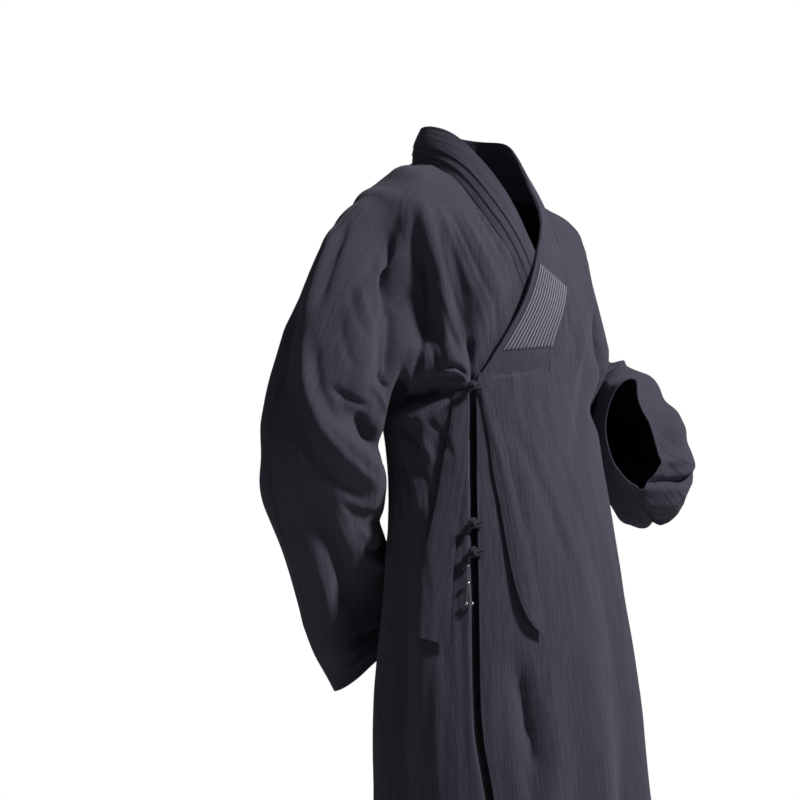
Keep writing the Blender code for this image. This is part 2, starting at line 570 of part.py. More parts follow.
def sleeve_point(around, share, rings, side):
    """Point of the creased sleeve."""
    def surface(u, v):
        return sleeve_form(u, v, rings, side)
    outward = side * surface_normals(surface, around, share)
    table = LEFT_SLEEVE_CREASES if side > 0 else RIGHT_SLEEVE_CREASES
    return surface(around, share) + outward * sleeve_creases(around, share, table)[..., None]


def sleeve(name, rings, side, finish):
    """A sleeve in its two lengths: one from the armhole to the join, one from the join to the cuff."""
    def surface(u, v):
        return sleeve_point(u, v, rings, side)
    join = np.full(SLEEVE_AROUND, SLEEVE_JOIN)
    around = np.arange(SLEEVE_AROUND) / SLEEVE_AROUND
    along = unit(surface(around, join + 1e-3) - surface(around, join - 1e-3))
    for part, start, end, ring, step in (("upper", 0, SLEEVE_JOIN, -1, -1), ("lower", SLEEVE_JOIN, 1, 0, 1)):
        rings_here = round(SLEEVE_RINGS * (end - start)) + 1
        around_at, share = np.meshgrid(around, np.linspace(start, end, rings_here))
        points = surface(around_at, share)
        points[ring] += along * step * JOIN_GAP
        normals = side * surface_normals(surface, around_at, share)
        if part == "upper":
            normals[0] = -surface_normals(body_point, *armhole(around, side))
        wall(f"{name}_{part}", points, normals, WALL, finish, round_closed=True)


def even_points(line, count):
    """Points at even distances along the smooth curve through the line's points."""
    distance = np.concatenate([[0], np.cumsum(np.linalg.norm(np.diff(line, axis=0), axis=1))])
    return smooth(np.linspace(0, 1, count), distance / distance[-1], line)


def collar_lines():
    """Seam points, their normals and free-edge points, from the over end round the nape to the under end."""
    seam, normals, free = [], [], []
    over, under = (OVER_SEAM, OVER_FREE, no_lift, 1), (UNDER_SEAM, UNDER_FREE, under_lift, -1)
    for rows, edge, lift, side in (over, under):
        turn, level = seam_line(rows)

        def surface(t, lv, lift=lift):
            return body_point(t, lv, lift(t, lv))
        points = surface(turn, level)
        outward = -surface_normals(surface, turn, np.clip(level, 2e-4, None))
        edge_points = even_points(edge, NECK_ROWS + 1)
        edge_turn_at, edge_level = place(edge_points[:, 0], edge_points[:, 2])
        edge_points = edge_points + outward * lift(edge_turn_at, edge_level)[:, None]
        order = slice(None, None, -1) if side > 0 else slice(None)
        seam.append(points[order])
        normals.append(outward[order])
        free.append(edge_points[order])
    turn = np.linspace(np.pi / 2, 3 * np.pi / 2, NAPE_COLUMNS + 1)[1:-1]
    nape_free = np.stack([
        NAPE_HALF_WIDTH * np.sin(turn),
        NAPE_SIDE_Y - (NAPE_BACK_Y - NAPE_SIDE_Y) * np.cos(turn),
        NAPE_HEIGHT - NAPE_LEFT_DROP * ease(np.sin(turn)),
    ], -1)
    level = np.zeros(len(turn))
    seam.insert(1, body_point(turn, level))
    normals.insert(1, -surface_normals(body_point, turn, level + 2e-4))
    free.insert(1, nape_free)
    return np.concatenate(seam), np.concatenate(normals), np.concatenate(free)


def collar_ply(name, step, finish):
    """One ply of the collar: the band from `step` inside the seam to the free edge, stacked outward."""
    points, normals = ply_points(step, lambda width: ply_shares(width, step))
    return wall(name, points, normals, COLLAR_PLY, finish)


def ply_points(step, shares_of):
    """Outer points and normals of a collar ply, at the shares across that shares_of gives."""
    seam, seam_normals, free = collar_lines()
    across = free - seam
    width = np.linalg.norm(across, axis=1)
    along = np.gradient(seam + free, axis=0)
    band = unit(np.cross(across, along))
    band *= np.sign((band * seam_normals).sum(-1, keepdims=True))
    share = shares_of(width)
    crown = COLLAR_CROWN * 4 * share * (1 - share)
    blend = ease(share / 0.25)[..., None]
    normals = unit(seam_normals[:, None] * (1 - blend) + band[:, None] * blend)
    lift = crown + step * (COLLAR_PLY + SEAM_GAP)
    return seam[:, None] + across[:, None] * share[..., None] + normals * lift[..., None], normals


def ply_shares(width, step):
    """Shares across the band where a ply has its columns: its own edge, the steps above it, the rest."""
    narrower = FLAT_STEP + (COLLAR_STEP - FLAT_STEP) * ease((np.arange(len(width)) - FLAT_END) / 2)
    steps = [(SEAM_GAP + count * narrower) / width for count in range(step, 3)]
    rest = np.linspace(0, 1, COLLAR_COLUMNS + 1)[1:]
    return np.stack(steps + [steps[-1] + (1 - steps[-1]) * part for part in rest], -1)


def read_grid(grid, rows, columns):
    """The grid of points read at places between its rows and columns, straight from one to the next."""
    row = np.clip(np.floor(rows).astype(int), 0, grid.shape[0] - 2)
    column = np.clip(np.floor(columns).astype(int), 0, grid.shape[1] - 2)
    down, aside = (rows - row)[..., None], (columns - column)[..., None]
    upper = grid[row, column] * (1 - aside) + grid[row, column + 1] * aside
    lower = grid[row + 1, column] * (1 - aside) + grid[row + 1, column + 1] * aside
    return upper * (1 - down) + lower * down


def quilting(top, finish):
    """The patch of raised rows, laid on the top ply from the ply's own points."""
    points, normals = ply_points(2, lambda width: ply_shares(width, 2))
    side = np.linspace(0, 1, 2 * QUILT_ROWS + 1)
    foot = QUILT_FROM[0] + (QUILT_FROM[1] - QUILT_FROM[0]) * side
    head = QUILT_TO[0] + (QUILT_TO[1] - QUILT_TO[0]) * side
    inner = [np.full(len(side), row) for row in range(int(QUILT_FROM[0]) + 1, int(QUILT_TO[0]) + 1)]
    stations = np.stack([foot, *inner, head])
    share = QUILT_SHARES[0] + (QUILT_SHARES[1] - QUILT_SHARES[0]) * side
    columns = np.broadcast_to(share * (points.shape[1] - 1), stations.shape)
    outward = unit(read_grid(normals, stations, columns))
    floor = stand_off(read_grid(points, stations, columns), outward, [top], QUILT_GAP)
    thick = np.broadcast_to(QUILT_BASE + QUILT_RIDGE * (np.arange(len(side)) % 2), stations.shape)
    return wall("collar_quilting", floor + outward * thick[..., None], outward, thick, finish)


def stand_off(points, outward, panels, height):
    """The points, moved out where they would lie less than `height` above the panels' outer faces."""
    moved = points.copy()
    for panel in panels:
        tree = BVHTree.FromPolygons(
            [vertex.co for vertex in panel.data.vertices], [face.vertices for face in panel.data.polygons]
        )
        for index in np.ndindex(points.shape[:-1]):
            direction = Vector(outward[index])
            start = Vector(points[index]) + direction * 0.03
            found = tree.ray_cast(start, -direction, 0.05)[0]
            if found is not None:
                short = height - (Vector(moved[index]) - found).dot(direction)
                moved[index] += np.array(direction) * max(short, 0.0)
    return moved


def ribbon(name, table, panels, finish):
    """A tie: a strip laid on the body between its two edges, standing further off towards its foot."""
    share = np.linspace(0, 1, len(table))
    turn, level, other_turn, other_level = smooth(np.linspace(0, 1, TIE_ROWS + 1), share, table).T
    across = np.linspace(0, 1, 5)
    turns = np.radians(turn[:, None] * (1 - across) + other_turn[:, None] * across)
    levels = level[:, None] * (1 - across) + other_level[:, None] * across
    rise = np.linspace(0, 1, TIE_ROWS + 1)[:, None] + 0 * across
    lift = TIE_LIFT[0] + (TIE_LIFT[1] - TIE_LIFT[0]) * ease(rise / 0.4)

    def surface(t, lv):
        return body_point(t, lv)
    normals = -surface_normals(surface, turns, levels)
    points = surface(turns, levels) + normals * lift[..., None]
    points = stand_off(points, normals, panels, RIBBON_WALL + LEAST_GAP)
    return wall(name, points, normals, RIBBON_WALL, finish)


def knot_place(turn, level):
    """Foot of a knot on the over front's surface, and the directions out, along the cloth to the left
    and up it."""
    foot = body_point(turn, level)
    out = -surface_normals(form, turn, level)
    left = body_point(turn + 0.01, level) - foot
    left = unit(left - out * (left * out).sum())
    return foot, out, left, np.cross(out, left)


def knot(name, turn, level, radius, finish):
    """A ball of knotted cord: rounds of a ball whose radius swells and sinks as the cord crosses over."""
    foot, out, left, up = knot_place(turn, level)
    centre = foot + out * KNOT_LIFT
    around = 2 * np.pi * np.arange(KNOT_AROUND) / KNOT_AROUND
    lift = np.pi * np.arange(1, KNOT_RINGS) / KNOT_RINGS
    theta, phi = np.meshgrid(around, lift)
    size = radius * (1 + 0.07 * np.cos(3 * theta + 2 * phi) * np.sin(phi))
    rounds = centre + size[..., None] * (
        np.sin(phi)[..., None] * (np.cos(theta)[..., None] * left + np.sin(theta)[..., None] * up)
        + np.cos(phi)[..., None] * out
    )
    return ball(name, rounds, centre + out * radius, centre - out * radius, finish)


def ball(name, rounds, top, bottom, finish):
    """Closed solid from rounds of points between two poles."""
    rows, columns = rounds.shape[:2]
    points = np.concatenate([rounds.reshape(-1, 3), [top, bottom]])
    index = np.arange(rows * columns).reshape(rows, columns)
    index = np.concatenate([index, index[:, :1]], axis=1)
    corners = [index[:-1, :-1], index[:-1, 1:], index[1:, 1:], index[1:, :-1]]
    faces = np.stack(corners, -1).reshape(-1, 4).tolist()
    for column in range(columns):
        faces.append([index[0, column + 1], index[0, column], rows * columns])
        faces.append([index[-1, column], index[-1, column + 1], rows * columns + 1])
    return add_mesh(name, points, faces, finish)


def cord_loop(name, turn, level, radius, panels, finish):
    """A loop of cord round the back of a knot: its two ends lie side by side on the over front's edge,
    one above the other."""
    foot, out, left, up = knot_place(turn, level)
    reach = radius * 0.62
    share = np.linspace(0, 1, LOOP_POINTS)
    swing = np.pi * (0.5 + share)
    bend = np.stack([np.cos(swing) * reach, np.sin(swing) * reach], -1)
    line = foot + bend[:, :1] * left + bend[:, 1:] * up + LOOP_LIFT * out
    tails = []
    for share, sign in ((1.0, 1), (0.6, 1), (0.6, -1), (1.0, -1)):
        tails.append(body_point(turn + LOOP_TAIL * share, level - sign * 0.0026, LOOP_LIFT))
    line = even_points(np.concatenate([tails[:2], line, tails[2:]]), LOOP_ROWS)
    raised = stand_off(line, np.repeat(out[None], len(line), axis=0), panels, LOOP_RADIUS + LEAST_GAP)
    step = np.linalg.norm(np.diff(line, axis=0), axis=1).mean()
    order = np.arange(LOOP_ROWS)
    near = np.exp(-((np.subtract.outer(order, order) * step / LOOP_EASE) ** 2))
    rise = (near * np.linalg.norm(raised - line, axis=1)).max(axis=1, keepdims=True)
    return tube(name, line + out * rise, LOOP_RADIUS, finish)


def tube(name, line, radius, finish):
    """Round cord along a line of points, with flat ends."""
    along = unit(np.gradient(line, axis=0))
    side = unit(np.cross(along, np.roll(along, 1, axis=0) + (0.31, 0.17, 0.93)))
    for count in range(1, len(line)):
        moved = side[count - 1] - along[count] * (side[count - 1] * along[count]).sum()
        side[count] = moved / np.linalg.norm(moved)
    other = np.cross(along, side)
    angle = (2 * np.pi * np.arange(LOOP_SIDES) / LOOP_SIDES)[None, :, None]
    rounds = line[:, None] + radius * (np.cos(angle) * side[:, None] + np.sin(angle) * other[:, None])
    return ball(name, rounds, line[0], line[-1], finish)


def clear_scene():
    for old in list(bpy.data.objects):
        bpy.data.objects.remove(old)
    group = bpy.data.collections.new("monk_robe")
    bpy.context.scene.collection.children.link(group)


def main():
    clear_scene()
    linen = material("robe_linen", (0.075, 0.072, 0.092), 0.88)
    white = material("quilting_thread", (0.62, 0.62, 0.66), 0.7)
    turn, level = front_grid(1)
    over = body_panel("left_front", turn, level, no_lift, linen)
    turn, level = front_grid(-1)
    under = body_panel("right_front", turn, level, under_lift, linen)
    for name, side in (("back_left", 1), ("back_right", -1)):
        turn, level = back_half(side)
        body_panel(name, turn, level, no_lift, linen)
    sleeve("left_sleeve", LEFT_SLEEVE, 1, linen)
    sleeve("right_sleeve", RIGHT_SLEEVE, -1, linen)
    plies = [
        collar_ply(name, step, linen)
        for step, name in enumerate(("collar_base", "collar_middle", "collar_top"))
    ]
    quilting(plies[-1], white)
    ribbon("tie_right", TIE_RIGHT, [under], linen)
    ribbon("tie_left", TIE_LEFT, [over], linen)
    for count, ((turn, level), radius) in enumerate(zip(KNOTS, KNOT_RADII), 1):
        knot(f"knot_button_{count}", np.radians(turn), level, radius, linen)
        cord_loop(f"button_loop_{count}", np.radians(turn), level, radius, [over, under], linen)


main()
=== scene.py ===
"""A monk's long crossed-collar robe in charcoal linen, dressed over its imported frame.

Metres, +Z up; the front faces -Y, the wearer's right is -X and the origin is the base of the neck.
The cloth of the body is placed by `turn`, the angle round it (0 at the middle front, + to the
wearer's left), and by `level`, the depth down it. A sleeve's is placed by `around` it and by the
`share` of its length. The plain forms are lofts of rings, as the solids' are; the folds, the crinkle
of the linen and the stitching are worked over them.
"""

import bpy
import numpy as np
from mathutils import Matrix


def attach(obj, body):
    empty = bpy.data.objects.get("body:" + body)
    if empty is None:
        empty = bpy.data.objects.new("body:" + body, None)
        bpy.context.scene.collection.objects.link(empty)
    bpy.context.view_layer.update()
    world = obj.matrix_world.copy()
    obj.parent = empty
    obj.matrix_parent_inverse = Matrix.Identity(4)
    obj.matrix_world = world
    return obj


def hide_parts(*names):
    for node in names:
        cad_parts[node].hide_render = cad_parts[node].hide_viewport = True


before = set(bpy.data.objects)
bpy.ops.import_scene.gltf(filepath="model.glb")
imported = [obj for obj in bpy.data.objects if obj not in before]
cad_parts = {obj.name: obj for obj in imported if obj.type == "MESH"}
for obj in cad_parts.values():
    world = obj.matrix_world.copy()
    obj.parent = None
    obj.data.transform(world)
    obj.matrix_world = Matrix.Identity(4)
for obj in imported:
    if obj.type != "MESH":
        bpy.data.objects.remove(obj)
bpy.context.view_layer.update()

# ---- cloth ----
WALL = 0.0015            # two plies of linen
COLLAR_PLY, RIBBON_WALL, SEAM_GAP = 0.0009, 0.0012, 0.0003
NECK_ALLOWANCE, NECK_TURN_IN = 0.0028, 0.0019  # of the lowest collar ply, below the neck seam
HEM_LEVEL = 1.31
RADIUS = 0.16            # metres of cloth to a radian of turn
BODY_GIRTH = 2 * np.pi * RADIUS
SLEEVE_GIRTH, SLEEVE_LENGTH = 0.48, 0.60

# ---- grids: FINE rows of cloth to each row of the solids ----
FINE = 6
NECK_ROWS, COLLAR_END_ROWS, PANEL_ROWS = 14, 19, 36
FRONT_COLUMNS, SHOULDER_COLUMNS, NAPE_COLUMNS = 14, 7, 10
ARMHOLE_ROWS, SLEEVE_RINGS, SLEEVE_AROUND = 16, 25, 32
PLACE_STEPS, NECK_STEP, SHARP = 1600, 2e-4, np.radians(50)

# ---- armholes and laps ----
SHOULDER_LEVEL, ARMPIT_LEVEL = 0.12, 0.30
ARMHOLE_TURN = np.radians(28)
LAP_DEPTH, SLIT_HOLLOW = 0.010, 0.020
SLIT_MARGIN, SLIT_TURN_IN, CHEST_TURN_IN = np.radians(2.9), np.radians(1.5), np.radians(15)
SLIT_FIRST_ROW, SLIT_COLUMNS = 12, (6 / 14, 7 / 14)  # where the under front's columns follow the slit
SLIT_LEVEL, LAP_LEVEL = 0.305, 0.24      # where the hollow of the slit and its sharp turn-in start
EDGE_CLEAR, EDGE_BLEND = np.radians(0.5), np.radians(3.0)  # beside the over front's edge
FOOT_TUCK = 0.0024       # of the over front's top edge, in under the collar's foot
FOOT_RISE, FOOT_SHIFT = (0.003, 0.006), np.radians(2.0)

# ---- hang of the cloth ----
# Swells of the body: turn, its width, level, its width, height, share of it at the neck's edge.
SWELLS = (
    (-1.70, 0.36, 0.155, 0.045, 0.0240, 1),
    (1.70, 0.36, 0.155, 0.045, 0.0240, 1),
    (-1.50, 0.26, 0.044, 0.024, 0.0100, 0),
    (1.58, 0.36, 0.092, 0.036, 0.0075, 1),
)
# The crumpled cloth under the blousing: turn, its width, level, its width, height, lattice.
BUNCH = (-1.42, 0.34, 0.365, 0.06, 0.0034, (0.022, 0.030))
# The blousing: its level by the front edge and how much lower by the side, its height, its fall by the
# edge and how much more by the side; the turns where it fades out and grows, each a start and a span.
BLOUSE_LEVEL, BLOUSE_LOWER, BLOUSE_HEIGHT, BLOUSE_FALL = 0.270, 0.017, 0.012, (0.002, 0.010)
BLOUSE_FADE, BLOUSE_GROW = (np.radians(-122), np.radians(30)), (-0.75, -0.55)
# Falls of the left cuff's edge: around, its width, share where it starts, fall inward, share of it down.
CUFF_FALLS = (
    (0.020, 0.095, 0.76, 0.016, 0.3),
    (-0.165, 0.050, 0.76, 0.012, 0.7),
    (0.135, 0.080, 0.84, 0.019, 0.6),
)
CUFF_INWARD = (-0.766, 0.643)
HEAD_SHARE = 0.24        # of a sleeve's length, taken by its head
# Swell of a sleeve's head: around, its width, share, its width, height, share by which it has grown.
HEAD_SWELL = (-0.08, 0.10, 0.052, 0.036, 0.006, 0.03)
# Crinkle of the linen: height, lattice across and down, seed.
CRINKLE = ((0.00022, (0.0050, 0.030), 1), (0.00048, (0.0085, 0.060), 4), (0.00115, (0.0190, 0.085), 2))
WANDER, UNEVEN = (0.010, (0.10, 0.16)), (0.00170, (0.0480, 0.110))

# level, half_width, front_y, back_y, side_y, side_z, front_z, back_z
RINGS = np.array([
    (0, 0.083, -0.06, 0.099, 0.025, -0.004, -0.045, 0.006),
    (0.03, 0.109, -0.076, 0.112, 0.024, -0.014, -0.075, -0.014),
    (0.06, 0.133, -0.091, 0.123, 0.023, -0.025, -0.101, -0.041),
    (0.09, 0.152, -0.102, 0.131, 0.022, -0.038, -0.126, -0.07),
    (0.12, 0.166, -0.109, 0.136, 0.021, -0.055, -0.15, -0.099),
    (0.16, 0.173, -0.114, 0.137, 0.018, -0.107, -0.182, -0.144),
    (0.22, 0.17, -0.118, 0.122, 0.01, -0.2, -0.227, -0.215),
    (0.3, 0.161, -0.126, 0.105, -0.006, -0.3, -0.3, -0.3),
    (0.38, 0.156, -0.14, 0.095, -0.022, -0.38, -0.38, -0.38),
    (0.53, 0.167, -0.168, 0.089, -0.04, -0.53, -0.53, -0.53),
    (0.69, 0.183, -0.193, 0.088, -0.052, -0.69, -0.69, -0.69),
    (0.83, 0.185, -0.209, 0.083, -0.061, -0.83, -0.83, -0.83),
    (1.1, 0.205, -0.236, 0.092, -0.069, -1.1, -1.1, -1.1),
    (1.31, 0.226, -0.256, 0.108, -0.072, -1.31, -1.31, -1.31),
])
# Neck seams of the fronts, from the neck point down: distance across, height.
OVER_SEAM = np.array([
    (0.083, -0.037), (0.081, -0.048), (0.078, -0.065), (0.072, -0.083), (0.066, -0.102), (0.06, -0.12),
    (0.051, -0.166), (0.03, -0.207), (0.012, -0.242), (0.002, -0.273),
])
UNDER_SEAM = np.array([
    (-0.083, -0.004), (-0.079, -0.026), (-0.073, -0.047), (-0.063, -0.076), (-0.055, -0.097),
    (-0.044, -0.116), (-0.033, -0.141), (-0.024, -0.167), (0, -0.215), (0.018, -0.273),
])
# Free edges of the collar on the fronts, from beside the neck down: x, y, z.
OVER_FREE = np.array([
    (0.066, 0.022, 0.034), (0.061, 0.004, 0.016), (0.056, -0.014, -0.006), (0.051, -0.032, -0.03),
    (0.04, -0.066, -0.064), (0.028, -0.081, -0.083), (0.014, -0.094, -0.101), (0, -0.1025, -0.116),
    (-0.014, -0.109, -0.15), (-0.038, -0.113, -0.194), (-0.072, -0.108, -0.243), (-0.096, -0.099, -0.281),
])
UNDER_FREE = np.array([
    (-0.066, 0.022, 0.046), (-0.06, -0.01, 0.036), (-0.052, -0.04, 0.008), (-0.04, -0.066, -0.022),
    (-0.03, -0.08, -0.047), (-0.018, -0.091, -0.078), (-0.002, -0.1025, -0.114), (0.02, -0.111, -0.15),
    (0.046, -0.112, -0.194), (0.075, -0.107, -0.243), (0.096, -0.099, -0.281),
])
NAPE_HALF_WIDTH, NAPE_SIDE_Y, NAPE_BACK_Y, NAPE_HEIGHT = 0.066, 0.022, 0.091, 0.047
NAPE_LEFT_DROP, LEFT_DROP = 0.012, 0.034
DROP_ACROSS, DROP_LEVEL, DROP_FADE = 0.09, 0.10, 0.18  # where the left shoulder's drop has grown, and goes
COLLAR_STEP, FLAT_STEP, FLAT_END, COLLAR_CROWN = 0.0105, 0.0010, 7.0, 0.003

# Front edges below the collar: level, turn in degrees.
OVER_EDGE = np.array([
    (0.285, -38), (0.32, -40), (0.4, -44.4), (0.51, -46.9), (0.61, -47.6), (0.72, -47.5), (0.8, -44.5),
    (0.9, -42), (1.31, -38),
])
UNDER_EDGE = np.array([(0.285, 38.0), (0.40, 38.0), (0.62, 37.0), (1.31, 36.0)])

# Main ridges (+) and troughs (-) of the body: turn and level of both ends, bend, depth, width.
BODY_CREASES = np.array([
    (-58, 0.12, -62, 0.315, 0.004, -0.0159, 0.024),
    (57, 0.11, 64, 0.32, 0.004, -0.013, 0.024),
    (-120, 0.11, -112, 0.33, 0, -0.013, 0.026),
    (118, 0.12, 113, 0.32, 0, -0.0116, 0.024),
    (-34, 0.268, -88, 0.262, -0.004, 0.0188, 0.022),
    (-36, 0.296, -104, 0.316, -0.006, -0.0159, 0.016),
    (30, 0.285, 92, 0.262, 0, 0.0087, 0.024),
    (24, 0.33, 100, 0.31, 0, -0.0087, 0.022),
    (-160, 0.3, -102, 0.275, 0, 0.0101, 0.026),
    (120, 0.29, 178, 0.32, 0, 0.0087, 0.026),
    (-66, 0.06, -46, 0.27, 0.006, 0.0087, 0.017),
    (-44, 0.09, -42, 0.272, 0.003, -0.0072, 0.014),
    (-20, 0.12, -38, 0.27, -0.004, 0.0072, 0.016),
    (52, 0.09, 6, 0.3, 0.01, 0.0058, 0.019),
    (38, 0.23, 4, 0.42, 0.006, -0.0058, 0.017),
    (150, 0.06, 132, 0.32, 0.01, -0.0101, 0.024),
    (-152, 0.07, -134, 0.33, -0.01, -0.0101, 0.024),
    (176, 0.1, 170, 0.7, 0.006, -0.0087, 0.026),
    (196, 0.26, 204, 0.9, 0, 0.0087, 0.026),
    (-74, 0.33, -80, 0.76, 0.008, 0.0087, 0.022),
    (-94, 0.36, -98, 1.5, 0.01, -0.0145, 0.026),
    (-112, 0.42, -114, 1.6, -0.008, 0.0145, 0.031),
    (-60, 0.64, -62, 1.9, 0.006, 0.013, 0.031),
    (-72, 0.78, -76, 1.9, 0, -0.013, 0.026),
    (-31, 0.6, -25, 0.82, 0.002, -0.0116, 0.017),
    (-22, 0.52, -19, 1.5, 0.004, 0.0101, 0.022),
    (-33, 0.82, -30, 2, 0, 0.0116, 0.026),
    (-12, 0.7, -8, 1.9, 0, -0.0145, 0.026),
    (4, 0.42, 6, 1.6, 0.006, 0.0116, 0.029),
    (20, 0.5, 19, 1.9, -0.004, -0.0145, 0.026),
    (37, 0.36, 38, 1.7, 0.004, 0.0116, 0.029),
    (55, 0.52, 57, 1.9, 0.006, -0.0145, 0.026),
    (74, 0.38, 78, 1.7, 0, 0.0116, 0.029),
    (96, 0.44, 97, 1.9, -0.006, -0.0159, 0.029),
    (117, 0.38, 120, 1.7, 0.006, 0.013, 0.031),
    (139, 0.46, 141, 1.9, 0, -0.0159, 0.029),
    (160, 0.42, 160, 1.7, 0.006, 0.013, 0.031),
    (180, 0.56, 181, 1.9, 0, -0.0145, 0.031),
    (-134, 0.44, -137, 1.8, 0.006, -0.0145, 0.029),
    (-157, 0.52, -158, 1.9, 0, 0.013, 0.031),
])
# Sharp folds of the right chest, which end at the over front's edge. They run through three points:
# turn and level of each, depth, width, lean.
CHEST_FOLDS = np.array([
    # drag folds from the right shoulder to the closure
    (-53, 0.105, -47, 0.165, -40.5, 0.23, -0.0026, 0.0055, 1),
    (-51, 0.07, -36, 0.125, -23.5, 0.222, -0.0022, 0.005, 1),
    (-38, 0.042, -26, 0.078, -15, 0.135, -0.0018, 0.005, 1),
    (-59, 0.07, -42, 0.135, -29, 0.25, 0.0024, 0.007, 0.8),
    (-45, 0.06, -31, 0.11, -20, 0.19, 0.002, 0.0065, 1),
    (-56, 0.15, -50, 0.2, -44, 0.262, -0.0024, 0.006, 1),
    (-53, 0.175, -47, 0.215, -42, 0.262, 0.002, 0.005, 1),
    (-48.5, 0.222, -47, 0.238, -45.5, 0.252, -0.0016, 0.0035, 1),
    (-55, 0.228, -53.5, 0.248, -51.5, 0.268, -0.0018, 0.004, 1),
    (-60, 0.238, -57.5, 0.26, -54, 0.282, -0.0018, 0.004, 1),
    (-35, 0.165, -33, 0.215, -31, 0.27, -0.0018, 0.005, 1),
    (-28, 0.17, -27, 0.205, -27, 0.24, 0.0016, 0.0045, 1),
    # the valley between the sleeve and the chest
    (-60, 0.14, -61.5, 0.215, -75, 0.302, -0.0105, 0.0115, 0.8),
    (-66.5, 0.11, -68, 0.165, -74, 0.24, 0.005, 0.011, 1),
    # the hollow beside the collar and the lips over the closure
    (-38.6, 0.232, -39.6, 0.262, -40.6, 0.296, -0.01, 0.006, 0.8),
    (-54.5, 0.2715, -48.5, 0.269, -41, 0.286, -0.0062, 0.0034, 1),
    (-72, 0.288, -52, 0.279, -41.5, 0.29, -0.0068, 0.0036, 1.2),
    (-62, 0.278, -51, 0.2745, -43, 0.2855, 0.003, 0.0034, 1),
    (-54, 0.296, -70, 0.3045, -98, 0.315, -0.015, 0.0095, 0.7),
    (-44, 0.274, -68, 0.279, -92, 0.286, 0.005, 0.009, 1),
    # crumpled cloth under the blousing
    (-90, 0.318, -80, 0.33, -66, 0.326, 0.0045, 0.0085, 1),
    (-96, 0.34, -84, 0.35, -72, 0.372, -0.005, 0.008, 1),
    (-82, 0.35, -73, 0.365, -66, 0.392, 0.0038, 0.007, 1),
    (-98, 0.382, -90, 0.402, -84, 0.44, -0.005, 0.009, 1),
    (-78, 0.385, -73, 0.41, -70, 0.45, -0.003, 0.006, 1),
    (-88, 0.38, -82, 0.412, -77, 0.462, 0.004, 0.008, 1),
    (-70, 0.33, -62, 0.35, -57, 0.395, -0.0028, 0.006, 1),
])
# Sharp folds of the rest of the body.
BODY_FOLDS = np.array([
    # fine pulls from the closure over the skirt
    (-37.5, 0.32, -34.5, 0.4, -30.5, 0.6, -0.0018, 0.0055, 1),
    (-37, 0.31, -30, 0.42, -22, 0.6, 0.0014, 0.006, 1),
    (-31, 0.3, -15, 0.4, 4, 0.56, -0.0018, 0.0075, 1),
    (-24, 0.295, -8, 0.41, 14, 0.68, 0.0018, 0.008, 1),
    (-12, 0.29, 6, 0.42, 26, 0.68, -0.0018, 0.008, 1),
    (4, 0.25, 20, 0.39, 36, 0.64, 0.002, 0.009, 1),
    (-2, 0.298, -4.5, 0.312, -7, 0.33, -0.0024, 0.004, 1),
    (10, 0.14, 17, 0.2, 17, 0.29, -0.002, 0.007, 1),
    (24, 0.11, 26, 0.19, 20, 0.29, 0.0022, 0.008, 1),
    (36, 0.13, 34, 0.21, 24, 0.31, -0.0024, 0.008, 1),
    # short dark falls beside the left tie, and soft ones down the skirt
    (-29.5, 0.635, -28, 0.69, -25, 0.735, -0.0055, 0.006, 0.7),
    (-28.5, 0.7, -27, 0.725, -25, 0.76, -0.0035, 0.0045, 1),
    (-30, 0.75, -29, 0.8, -28, 0.9, -0.004, 0.006, 1),
    (-22, 0.6, -20.5, 0.645, -20, 0.69, -0.0018, 0.004, 1),
    (-23, 0.68, -21, 0.715, -20, 0.77, -0.002, 0.0045, 1),
    (-67, 0.48, -68, 0.62, -70, 0.86, 0.0022, 0.008, 1),
    (-84, 0.47, -88, 0.64, -90, 0.98, 0.0026, 0.009, 1),
    (-54, 0.46, -56, 0.64, -55, 0.9, -0.002, 0.007, 1),
    (-39, 0.64, -40, 0.76, -36, 1, -0.0022, 0.007, 1),
    # the left side and the back, hidden in most views but worn the same
    (70, 0.33, 66, 0.42, 64, 0.62, -0.003, 0.01, 1),
    (84, 0.32, 88, 0.38, 86, 0.52, 0.0035, 0.011, 1),
    (60, 0.3, 80, 0.318, 104, 0.322, -0.0045, 0.009, 0.8),
    (126, 0.13, 150, 0.215, 172, 0.33, -0.003, 0.01, 1),
    (232, 0.13, 212, 0.2, 188, 0.3, -0.003, 0.01, 1),
    (122, 0.2, 140, 0.27, 168, 0.36, 0.003, 0.011, 1),
    (238, 0.19, 222, 0.265, 196, 0.35, 0.003, 0.011, 1),
    (120, 0.318, 146, 0.335, 176, 0.33, -0.004, 0.01, 0.7),
    (184, 0.325, 214, 0.338, 244, 0.318, -0.004, 0.01, 0.7),
    (150, 0.4, 147, 0.56, 149, 0.9, -0.003, 0.011, 1),
    (206, 0.42, 210, 0.6, 214, 1, -0.003, 0.011, 1),
])

# share, centre, then the vectors to a sleeve's outer side and to its front side
RIGHT_SLEEVE = np.array([
    (0, -0.164, 0.014, -0.182, 0, 0.002, 0.118, 0, -0.066, 0),
    (0.12, -0.194, 0.018, -0.196, -0.028, 0.004, 0.084, 0.004, -0.07, 0.004),
    (0.26, -0.216, 0.026, -0.254, -0.052, 0.004, 0.044, 0.004, -0.074, 0.006),
    (0.4, -0.234, 0.036, -0.322, -0.073, 0, 0.016, 0, -0.077, 0.006),
    (0.54, -0.239, 0.044, -0.392, -0.077, -0.002, -0.01, 0, -0.08, 0.008),
    (0.68, -0.198, 0.07, -0.472, -0.068, -0.014, -0.034, 0.012, -0.068, -0.006),
    (0.84, -0.13, 0.12, -0.562, -0.079, -0.029, -0.052, 0.018, -0.043, 0),
    (1, -0.054, 0.145, -0.64, -0.097, -0.028, -0.05, 0.002, -0.036, 0.012),
])
